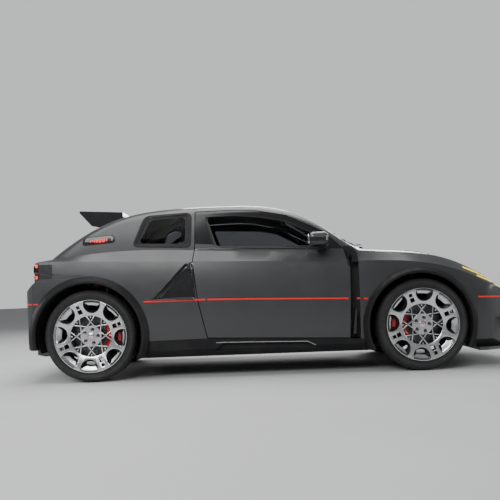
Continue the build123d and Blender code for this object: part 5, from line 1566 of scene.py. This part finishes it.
def build_dashboard_fittings():
    """Instrument hood and screens, vents, switch panel and the stitched top roll."""
    hood = extruded("instrument_hood", rounded([(318, 852), (306, 902), (330, 948), (420, 958), (520, 920),
                                                (500, 905)], 14, 4),
                    262, 478)
    recess = extruded("recess", [(290, 866), (290, 938), (326, 938), (338, 866)], 276, 464)
    hood = bevelled(cut_by(bevelled(hood, 0.006, 3, 40), recess), 0.0012, 2, 50)
    finished(hood, "soft", "body_shell", 40)
    screen = bevelled(extruded("instrument_screen", [(327, 867), (316, 937), (323, 938), (334, 867)], 279, 461),
                      0.001, 2)
    finished(screen, "lamp", "body_shell", 40)
    bars = []
    for index in range(14):
        tall = 0.006 + 0.0022 * index
        y = 0.440 - index * 0.0105
        bars.append(box("bar", (0.3165, y - 0.0035, 0.905), (0.3185, y + 0.0035, 0.905 + tall * 0.7)))
    for index in range(3):
        bars.append(box("bar", (0.3225, 0.320 + index * 0.05 - 0.016, 0.880),
                        (0.3245, 0.320 + index * 0.05 + 0.016, 0.884)))
    finished(joined("instrument_bars", bars), "amber_light")
    pod = bevelled(box("co_driver_screen", (0.296, -0.455, 0.862), (0.322, -0.285, 0.938), (0, math.radians(-9), 0)),
                   0.004, 3)
    glass = bevelled(box("co_driver_glass", (0.2935, -0.446, 0.870), (0.2965, -0.294, 0.930),
                         (0, math.radians(-9), 0)),
                     0.001, 1)
    arm = bevelled(rod("screen_arm", (0.318, -0.370, 0.872), (0.372, -0.370, 0.842), 0.011, 20), 0.002, 2)
    finished(joined("co_driver_pod", [pod, arm]), "chassis")
    finished(glass, "lamp")
    vents = [air_vent(y, 0.818, 0.3115) for y in (-0.575, -0.150, 0.150, 0.575)]
    finished(joined("dash_vents", vents), "chassis")
    panel = bevelled(extruded("switch_panel", [(302, 792), (330, 706), (322, 702), (293, 792)], -110, 110), 0.002, 2)
    finished(panel, "weave")
    switches, caps = [], []
    for row, z in enumerate((0.772, 0.738)):
        for column in range(7):
            y = (column - 3) * 0.028
            x = 0.2975 + (0.792 - z) * 0.32
            collar = rod("collar", (x + 0.004, y, z), (x - 0.004, y, z - 0.001), 0.0062, 12)
            lever = rod("lever", (x, y, z), (x - 0.017, y, z + (0.006 if (row + column) % 3 else -0.007)), 0.0017, 8,
                        0.0026)
            switches += [collar, lever]
    for y in (-0.062, 0.0, 0.062):
        caps.append(bevelled(rod("start_cap", (0.322, y, 0.7185), (0.309, y, 0.7145), 0.011, 24), 0.002, 2))
    finished(joined("dash_switches", switches), "steel")
    finished(joined("dash_buttons", caps), "red")
    seams = []
    for index in range(96):
        y = -0.62 + index * 1.24 / 95
        seams.append(rod("stitch", (0.4305, y - 0.0034, 0.8985), (0.4305, y + 0.0034, 0.8985), 0.0010, 5))
    finished(joined("dash_stitches", seams), "webbing")


def build_floor_fittings():
    """Gear and hand brake levers on their tunnel plate, pedals, footrest and extinguisher."""
    plate = extruded("tunnel_cover", rounded([(-300, 188), (-270, 262), (240, 280), (330, 420), (420, 560),
                                              (470, 590), (470, 188)],
                                             30, 4), -78, 78)
    finished(bevelled(plate, 0.010, 3, 40), "weave")
    box_piece = bevelled(box("shift_box", (0.010, -0.052, 0.262), (0.190, 0.052, 0.330)), 0.008, 3)
    levers = [rod("shift_lever", (0.100, 0.000, 0.325), (0.062, 0.016, 0.600), 0.0085, 20, 0.006),
              rod("brake_lever", (0.140, -0.036, 0.325), (0.060, -0.040, 0.560), 0.011, 20, 0.009)]
    finished(joined("lever_base", [box_piece]), "cast")
    finished(joined("cabin_levers", levers), "steel")
    knob = turned("knob", [(0.0, 0.634), (0.012, 0.632), (0.019, 0.624), (0.021, 0.612), (0.017, 0.598),
                           (0.009, 0.586),
                           (0.0, 0.586)], 32, "Z")
    placed(knob, (0.060, 0.017, 0))
    grip = bevelled(rod("brake_grip", (0.0775, -0.0392, 0.510), (0.0525, -0.0404, 0.598), 0.0155, 24), 0.005, 3)
    finished(joined("lever_knobs", [knob, grip]), "soft", "body_shell", 40)
    pads, arms = [], []
    for y, wide in ((0.285, 0.026), (0.372, 0.032), (0.455, 0.032)):
        pad = box("pad", (0.545, y - wide, 0.262), (0.555, y + wide, 0.360), (0, math.radians(24), 0))
        slots = [box("slot", (0.52, y - wide + 0.008, 0.285 + step * 0.018),
                     (0.58, y + wide - 0.008, 0.291 + step * 0.018),
                     (0, math.radians(24), 0)) for step in range(4)]
        pads.append(bevelled(cut_by(pad, *slots), 0.0012, 2))
        arms.append(rod("pedal_arm", (0.556, y, 0.300), (0.655, y, 0.560), 0.009, 16))
        arms.append(rod("pedal_pivot", (0.655, y - 0.022, 0.560), (0.655, y + 0.022, 0.560), 0.016, 20))
        arms.append(box("pedal_bracket", (0.650, y - 0.026, 0.535), (0.6895, y + 0.026, 0.590)))
    rest = extruded("foot_rest", [(470, 188), (600, 330), (608, 322), (486, 188)], -540, -200)
    ribs = [box("tread", (0.49 + step * 0.03, -0.53, 0.212 + step * 0.0325),
                (0.496 + step * 0.03, -0.21, 0.221 + step * 0.0325),
                (0, math.radians(-47), 0)) for step in range(4)]
    finished(joined("pedal_pads", pads), "steel")
    finished(bevelled(joined("pedal_arms", arms), 0.0015, 2), "chassis")
    finished(bevelled(joined("co_driver_foot_rest", [rest] + ribs), 0.0012, 2), "cast")
    bottle = turned("bottle", [(0.0, -0.150), (0.034, -0.146), (0.052, -0.128), (0.052, 0.112), (0.036, 0.140),
                               (0.018, 0.146),
                               (0.018, 0.166), (0.0, 0.168)], 48, "Y")
    placed(bottle, (-0.735, 0, 0.245))
    bottle.name = "extinguisher"
    finished(bottle, "red")
    bands = [turned("band", [(0.0525, y - 0.010), (0.0545, y - 0.010), (0.0545, y + 0.010), (0.0525, y + 0.010),
                             (0.0525, y - 0.010)], 48, "Y") for y in (-0.08, 0.07)]
    holder = joined("extinguisher_bands", bands)
    placed(holder, (-0.735, 0, 0.245))
    feet = [bevelled(box("foot", (-0.768, y - 0.012, 0.1875), (-0.702, y + 0.012, 0.2000)), 0.001,
                     1) for y in (-0.08, 0.07)]
    finished(joined("extinguisher_holder", [holder] + feet), "steel")


def build_door_cards():
    """Door cards with an arm rest, a pull strap, a latch lever and bolts, laid on the inside of the doors."""
    card = plate_on("door_card", rounded([(-470, 340), (520, 306), (535, 560), (520, 850), (-500, 905), (-490, 600)],
                                         40, 4), "door", "cabin", 1.0, 4.0, 60)
    on_both(bevelled(card, 0.0015, 2, 50), "weave", "door_{side}")
    rest = plate_on("door_arm_rest", rounded([(-330, 600), (180, 588), (190, 640), (-330, 655)], 24, 4), "door",
                    "cabin", 5.0, 26.0, 60)
    on_both(bevelled(rest, 0.007, 3, 50), "soft", "door_{side}")
    lever = plate_on("door_lever", rounded([(260, 690), (350, 684), (356, 708), (262, 716)], 9, 4), "door", "cabin",
                     5.2, 9.0, 60)
    on_both(bevelled(lever, 0.002, 2, 50), "bright", "door_{side}")
    pull = plate_on("door_pull_strap", rounded([(-300, 756), (-60, 742), (-58, 768), (-298, 782)], 8, 3), "door",
                    "cabin", 5.4, 3.0, 30)
    on_both(bevelled(pull, 0.0008, 1, 50), "webbing", "door_{side}")
    bolts = []
    for x, z in ((-430, 380), (-430, 860), (0, 350), (0, 868), (470, 345), (480, 830)):
        disc = plate_on("card_bolt", disc_outline(x, z, 8, 16), "door", "cabin", 5.1, 2.2, 60)
        bolts.append(disc)
    on_both(joined("card_bolts", bolts), "steel", "door_{side}")


def build_cage_fittings():
    """Foot plates, bolts, gussets and joint collars of the roll cage."""
    hoop = [(-0.700, -0.670, 0.1883), (-0.700, -0.680, 0.900), (-0.700, -0.555, 1.275)]
    leg = [(-0.700, -0.555, 1.275), (0.130, -0.545, 1.240), (0.520, -0.672, 0.955), (0.560, -0.680, 0.1883)]
    pieces = []
    bolts = []
    for x, y in ((-0.700, -0.670), (0.560, -0.680)):
        pieces.append(bevelled(box("foot", (x - 0.055, y - 0.045, 0.1875), (x + 0.055, y + 0.050, 0.1945)), 0.002, 2))
        for dx, dy in ((-0.040, -0.031), (0.040, -0.031), (-0.040, 0.034), (0.040, 0.034)):
            bolts.append(bevelled(rod("bolt", (x + dx, y + dy, 0.1945), (x + dx, y + dy, 0.2025), 0.0065, 6), 0.0008,
                                  1))
    places = [(hoop[0], hoop[1], 0.93), (hoop[1], hoop[2], 0.90), (leg[0], leg[1], 0.05), (leg[0], leg[1], 0.95),
              (leg[1], leg[2], 0.06), (leg[1], leg[2], 0.93), (leg[2], leg[3], 0.05), (hoop[0], hoop[1], 0.10)]
    for start, end, share in places:
        start, end = Vector(start), Vector(end)
        along = (end - start).normalized()
        middle = start.lerp(end, share)
        pieces.append(bevelled(rod("collar", middle - along * 0.020, middle + along * 0.020, 0.0232, 28), 0.0022, 2))
    corners = [(Vector(hoop[2]), Vector(hoop[1]), Vector(leg[1])), (Vector(leg[1]), Vector(leg[0]), Vector(leg[2]))]
    for corner, first, second in corners:
        one = corner + (first - corner).normalized() * 0.11
        two = corner + (second - corner).normalized() * 0.11
        plate = chain("gusset", [corner, one, two], closed=True)
        pieces.append(bevelled(work(plate, "SOLIDIFY", thickness=0.005, offset=0), 0.001, 1))
    on_both(joined("cage_collars", pieces), "cage")
    on_both(joined("cage_bolts", bolts), "steel")


# ---- Outside fittings ----

def disc_outline(u, v, radius, count=20):
    """Round outline about a place."""
    return [(u + radius * math.cos(2 * math.pi * step / count), v + radius * math.sin(2 * math.pi * step / count))
            for step in range(count)]


def across(half):
    """Both halves of an outline that is mirrored about the car's middle."""
    return half + [(u, -v) for u, v in reversed(half) if v]


def build_glass_borders():
    """Black printed borders and wipers of the windscreen, and the border and heater lines of the rear glass."""
    plan = across([(782, 0), (766, 398), (688, 692), (422, 642), (156, 550), (146, 0)])
    border = frame_on("windscreen_border", rounded(plan, 60, 5), rounded(scaled(plan, -34), 60, 5), "shell", "top",
                      0.5, 0.7, 3, 160)
    finished(border, "gloss_black")
    for index, (pivot, tip) in enumerate((((752, 40), (420, 300)), ((752, -420), (420, -160)))):
        start, end = Vector(pivot), Vector(tip)
        along = (end - start).normalized()
        side = Vector((-along.y, along.x))
        base = start + along * 60
        arm = [start + side * 9, base + side * 7, end + side * 4, end - side * 4, base - side * 7, start - side * 9]
        arm_piece = plate_on("wiper_arm", arm, "shell", "top", 7.0, 5.0, 60)
        across_end = end + along * 20
        blade = [across_end + along * far + side * out for far, out in ((-210, 16), (60, 16), (60, 24), (-210, 24))]
        blade_piece = plate_on("wiper_blade", blade, "shell", "top", 1.2, 7.0, 40)
        corners = [end + side * 22 - along * 12, end + side * 22 + along * 8, end - side * 4 + along * 8,
                   end - side * 4 - along * 12]
        link = plate_on("wiper_link", corners, "shell", "top", 8.4, 3.4, 60)
        cap = plate_on("wiper_cap", disc_outline(start.x, start.y, 15), "shell", "top", 3.0, 12.0, 60)
        finished(bevelled(joined(f"wiper_{index}", [arm_piece, blade_piece, link, cap]), 0.0012, 2, 50), "trim")
    rear = [(468, 1252), (540, 1046), (-540, 1046), (-468, 1252)]
    rear_border = frame_on("rear_glass_border", rounded(rear, 40, 5), rounded(scaled(rear, -30), 40, 5), "tail",
                           "rear", 0.5,
                           0.7, 2, 120)
    finished(rear_border, "gloss_black", "tailgate")
    lines = []
    for z in range(1080, 1240, 32):
        half = 430 + (1240 - z) * 0.3
        lines.append(plate_on("heater_line", [(half, z), (half, z + 1), (-half, z + 1), (-half, z)], "tail", "rear",
                              0.3, 0.4, 60))
    finished(joined("heater_lines", lines), "pocket", "tailgate")


def build_bonnet_fittings():
    """Louvred air outlets and quick-release pins of the bonnet."""
    slats, pins = [], []
    outline = [(1120, -140), (1120, -430), (1330, -390), (1330, -170)]
    frame_piece = frame_on("bonnet_outlet_frame", rounded(scaled(outline, 12), 26, 4),
                           rounded(scaled(outline, -10), 22, 4),
                           "hood", "top", 0.4, 4.0, 2, 96)
    floor_plate = plate_on("bonnet_outlet_floor", rounded(outline, 20, 4), "hood", "top", 0.3, 0.8, 40)
    for step in range(6):
        x = 1138 + step * 33
        inset = 14 + (x - 1120) * 0.19
        slats.append(plate_on("slat", [(x, -430 + inset), (x + 15, -430 + inset + 3), (x + 15, -145), (x, -145)],
                              "hood", "top",
                              2.0 + 0.4 * (step % 2), 3.2, 60))
    pins.append(plate_on("pin_plate", disc_outline(1585, -430, 26, 28), "hood", "top", 0.4, 2.4, 60))
    pins.append(plate_on("pin", disc_outline(1585, -430, 8, 18), "hood", "top", 2.6, 6.0, 60))
    sets = (
        (frame_piece, "gloss_black"), (floor_plate, "trim"), (bevelled(joined("bonnet_slats", slats), 0.0012, 2, 50),
                                                              "gloss_black"),
        (bevelled(joined("bonnet_pins", pins), 0.001, 2, 50), "bright"),
    )
    for piece, finish in sets:
        on_both(piece, finish, "bonnet")


def build_nose_fittings():
    """Framed mesh in the nose openings, edge strip of the splitter, its stay rods and the tow loop."""
    grid = []
    for low, high, bottom, top, x in ((-0.518, 0.518, 0.212, 0.468, 1.852), (-0.798, -0.612, 0.304, 0.468, 1.744),
                                      (0.612, 0.798, 0.304, 0.468, 1.744)):
        middle = ((low + high) / 2, (bottom + top) / 2)
        unselect()
        cells = int((high - low) / 0.022)
        rows = int((top - bottom) / 0.022)
        bpy.ops.mesh.primitive_grid_add(x_subdivisions=rows, y_subdivisions=cells, size=1,
                                        location=(x, middle[0], middle[1]),
                                        rotation=(0, math.radians(90), 0))
        net = bpy.context.object
        net.scale = (top - bottom, high - low, 1)
        settle(net)
        edit()
        select()
        bpy.ops.mesh.poke()
        leave()
        edit()
        bpy.ops.mesh.select_mode(type="EDGE")
        select("DESELECT")
        leave()
        for edge in net.data.edges:
            start, end = (net.data.vertices[index].co for index in edge.vertices)
            way = (start - end).normalized()
            edge.select = min(abs(way.y), abs(way.z)) < 0.01
        edit()
        bpy.ops.mesh.dissolve_edges(use_verts=False)
        bpy.ops.mesh.select_mode(type="VERT")
        leave()
        work(net, "WIREFRAME", thickness=0.0032, use_even_offset=True)
        grid.append(net)
    finished(joined("nose_mesh", grid), "gloss_black", "body_shell", 20)
    opening = [(-520, 208), (520, 208), (520, 470), (-520, 470)]
    surround = frame_on("nose_frame", rounded(scaled(opening, 20), 30, 4), rounded(scaled(opening, 2), 26, 4),
                        "shell", "front",
                        0.4, 2.6, 2, 160)
    finished(surround, "gloss_black")
    edge = rounded([(1572, -878), (1790, -798), (1940, -430), (1974, 0), (1940, 430), (1790, 798), (1572, 878)], 60,
                   5)
    line = chain("splitter_edge", [(x / 1000 - 0.004, y / 1000, 0.1405) for x, y in edge[6:-6]])
    edit()
    bpy.ops.mesh.extrude_region_move(TRANSFORM_OT_translate={"value": (-0.030, 0, 0)})
    leave()
    work(line, "SOLIDIFY", thickness=0.003, offset=0)
    finished(line, "rubber")
    rods = []
    for y in (-0.46, 0.46):
        rods.append(rod("stay", (1.905, y, 0.1650), (1.868, y, 0.2620), 0.0045, 16))
        for place in ((1.905, y, 0.1655), (1.868, y, 0.2620)):
            rods.append(bevelled(rod("stay_end", (place[0], y - 0.009, place[2] + 0.004),
                                     (place[0], y + 0.009, place[2] + 0.004),
                                     0.0085, 16), 0.001, 1))
    finished(joined("splitter_stays", rods), "steel")
    loop = strap("tow_loop_front", [(1.842, 0.405, 0.420), (1.885, 0.408, 0.428), (1.912, 0.411, 0.405),
                                    (1.905, 0.413, 0.372),
                                    (1.872, 0.410, 0.368), (1.845, 0.406, 0.384)], (0, 0.028, 0), 0.003)
    finished(loop, "webbing")


def build_tail_fittings():
    """Lenses and light bars of the tail lamps, blank plate in its frame, tail pipe lips and clamps."""
    bars = []
    lens = plate_on("tail_lens", rounded([(-682, 812), (-886, 812), (-886, 912), (-682, 912)], 14, 4), "shell",
                    "rear", 0.4, 1.2, 30)
    on_both(lens, "lamp")
    for low, high in ((893, 903), (821, 830)):
        bars.append(plate_on("bar", [(-694, low), (-878, low), (-878, high), (-694, high)], "shell", "rear", 1.8, 1.6,
                             30))
    for y in range(-706, -868, -36):
        bars.append(plate_on("bar", [(y, 842), (y - 16, 842), (y - 8, 882), (y + 8, 882)], "shell", "rear", 1.8, 1.4,
                             30))
    on_both(joined("tail_light_bars", bars), "red_light")
    strip = plate_on("tail_corner", [(-1832, 806), (-1832, 926), (-1806, 930), (-1806, 800)], "shell", "right", 0.5,
                     3.0, 20)
    on_both(bevelled(strip, 0.001, 1, 50), "gloss_black")
    ends = [plate_on("end", [(-1830, low), (-1830, low + 26), (-1812, low + 26), (-1812, low)], "shell", "right", 3.4,
                     1.2, 40)
            for low in (808, 896)]
    on_both(joined("tail_corner_lights", ends), "red_light")
    plate = plate_on("blank_plate", rounded([(-255, 598), (255, 598), (255, 700), (-255, 700)], 10, 3), "shell",
                     "rear", 0.3, 0.9, 60)
    finished(bevelled(plate, 0.0003, 2, 50), "bright")
    holder = frame_on("plate_frame", rounded([(-268, 586), (268, 586), (268, 712), (-268, 712)], 14, 3),
                      rounded([(-254, 600), (254, 600), (254, 698), (-254, 698)], 8, 3), "shell", "rear", 0.2, 1.7, 1,
                      100)
    finished(bevelled(holder, 0.0005, 2, 50), "trim")
    for index, y in enumerate((-0.085, 0.085)):
        lip = turned("tail_pipe_lip", [(0.0375, -0.060), (0.0375, 0.001), (0.0395, 0.0040), (0.0418, 0.003),
                                       (0.0420, 0.000),
                                       (0.0420, -0.002), (0.0395, -0.004), (0.0382, -0.060), (0.0375, -0.060)], 64,
                     "Y")
        placed(lip, (-1.974, y, 0.368), 90, "Z")
        lip.name = f"tail_pipe_lip_{index}"
        finished(lip, "bright")
        weld = turned("tail_pipe_clamp", [(0.0422, -0.010), (0.0455, -0.010), (0.0465, 0.0), (0.0455, 0.010),
                                          (0.0422, 0.010),
                                          (0.0422, -0.010)], 64, "Y")
        placed(weld, (-1.812, y, 0.368), 90, "Z")
        weld.name = f"tail_pipe_clamp_{index}"
        finished(weld, "steel")


def build_sill_edges():
    """Pale metal strip along the sill scoop's upper edge as a painted highlight, and a dark grey strip along its
    drain lip.
    """
    # The pale strip along the scoop's upper edge is a painted highlight.
    upper = side_ribbon("scoop_edge_highlight", [(-455, 271), (-400, 272), (-60, 265), (250, 257), (312, 226)], 5,
                        "shell", 0.3, 2.4, 1, 20)
    on_both(upper, "bright")
    lower = side_ribbon("scoop_lower_edge", [(-452, 207), (-60, 200), (306, 193)], 4, "shell", 0.3, 2.0, 1, 20)
    on_both(lower, "pocket")


def build_springs():
    """Coil springs and cap rings of the four struts, with reservoirs on the two rear struts."""
    unselect()
    bpy.ops.mesh.primitive_circle_add(vertices=10, radius=0.0058, location=(0.0468, 0, 0),
                                      rotation=(math.radians(90), 0, 0))
    coil = bpy.context.object
    coil.name = "strut_coil"
    settle(coil)
    work(coil, "SCREW", axis="Z", angle=2 * math.pi, screw_offset=0.026, iterations=7, steps=26, render_steps=26,
         use_merge_vertices=True, merge_threshold=0.00001)
    placed(coil, (0, 0, 0.560))
    facing_out = turned("strut_caps", [(0.024, 0.5345), (0.052, 0.5345), (0.055, 0.5400), (0.055, 0.5480),
                                       (0.050, 0.5510),
                                       (0.024, 0.5510), (0.024, 0.5345)], 48, "Z")
    top_cap = turned("cap", [(0.024, 0.7430), (0.050, 0.7430), (0.056, 0.7470), (0.056, 0.7560), (0.024, 0.7600),
                             (0.024, 0.7430)],
                     48, "Z")
    caps = joined("strut_caps", [facing_out, top_cap])
    bottle = rod("reservoir", (0.075, 0.0, 0.600), (0.075, 0.0, 0.730), 0.017, 24)
    clamp = box("clamp", (0.020, -0.008, 0.640), (0.076, 0.008, 0.652))
    tank = joined("strut_reservoir", [bevelled(bottle, 0.004, 3, 40), bevelled(clamp, 0.002, 2)])
    for x in AXLE_X.values():
        for side in (-1, 1):
            corner = ("front" if x > 0 else "rear") + ("_left" if side > 0 else "_right")
            for piece, finish in ((coil, "red"), (caps, "cast"), (tank, "steel")):
                if piece is tank and x > 0:
                    continue
                twin = copied(piece, Matrix.Translation((x, side * 0.545, 0)), f"{piece.name}_{corner}")
                finished(twin, finish, "body_shell", 40)
    for piece in (coil, caps, tank):
        bpy.data.objects.remove(piece)


def build_wheel_wells():
    """Pressed inner wall of each wheel well, behind the suspension tower."""
    for axle, x, y in (("front", 1.140, 0.268), ("rear", -1.420, 0.302)):
        arc = [(x * 1000 + 424 * math.cos(turn), 356 + 424 * math.sin(turn))
               for turn in [math.radians(-18 + 216 * step / 40) for step in range(41)]]
        wall = bevelled(extruded("wheel_well_wall", arc, -y * 1000, -y * 1000 + 5), 0.001, 1, 50)
        ribs = []
        for degrees in (20, 48, 76, 104, 132, 160):
            rib = box("rib", (0.215, -y - 0.007, -0.014), (0.400, -y + 0.001, 0.014))
            placed(rib, (x, 0, 0.356), -degrees)
            ribs.append(bevelled(rib, 0.003, 2, 50))
        on_both(joined(f"wheel_well_{axle}", [wall] + ribs), "underbody")


def build_engine_fittings():
    """Ribbed cover, coils, intake horns, air box and pulleys on the engine block."""
    cover = extruded("engine_cover", rounded([(-1190, 700.5), (-1190, 738), (-1160, 752), (-900, 752), (-872, 738),
                                              (-872, 700.5)],
                                             10, 3), -120, 60)
    ribs = [bevelled(box("rib", (-1.165, -0.105 + step * 0.024, 0.750), (-0.900, -0.099 + step * 0.024, 0.757)),
                     0.0015, 2)
            for step in range(7)]
    finished(joined("engine_cover", [bevelled(cover, 0.008, 3, 40)] + ribs), "red", "body_shell", 40)
    coils, horns = [], []
    for step in range(4):
        x = -1.140 + step * 0.072
        coils.append(bevelled(box("coil", (x - 0.018, -0.160, 0.7005), (x + 0.018, -0.128, 0.735)), 0.004, 2))
        horn = turned("horn", [(0.022, 0.0), (0.024, 0.060), (0.030, 0.082), (0.038, 0.090), (0.036, 0.092),
                               (0.026, 0.084),
                               (0.020, 0.060), (0.018, 0.0), (0.022, 0.0)], 32, "Z")
        placed(horn, (x, 0.135, 0.690), -28, "X")
        horns.append(horn)
    finished(joined("ignition_coils", coils), "trim", "body_shell", 40)
    finished(joined("intake_horns", horns), "steel", "body_shell", 40)
    plenum = extruded("air_box", rounded([(-1180, 770), (-1180, 850), (-880, 850), (-880, 770)], 30, 4), 150, 270)
    finished(bevelled(plenum, 0.014, 3, 40), "weave", "body_shell", 40)
    pulleys = []
    for face, edge, root, steps, place in ((0.060, 0.062, 0.056, 48, (-0.832, -0.10, 0.430)),
                                           (0.034, 0.036, 0.031, 40, (-0.832, 0.12, 0.560))):
        half = [(0.0, -0.012), (face, -0.012), (edge, -0.008), (root, -0.004)]
        pulley = turned("pulley", half + [(radius, -along) for radius, along in reversed(half)], steps, "Y")
        pulleys.append(placed(pulley, place, 90, "Z"))
    finished(joined("engine_pulleys", pulleys), "steel", "body_shell", 40)


# ---- Build ----

place_camera()
light_studio()
build_wheels()
skins = make_skins()
build_stripe()
build_window_trim()
build_pillar_display()
build_side_intake()
build_front_lights()
build_mirror_glass()
build_seats()
build_steering_wheel()
build_dashboard_fittings()
build_floor_fittings()
build_door_cards()
build_cage_fittings()
build_glass_borders()
build_bonnet_fittings()
build_nose_fittings()
build_tail_fittings()
build_sill_edges()
build_springs()
build_wheel_wells()
build_engine_fittings()
for skin in skins.values():
    bpy.data.objects.remove(skin)
finish_frame()
pale_floor()
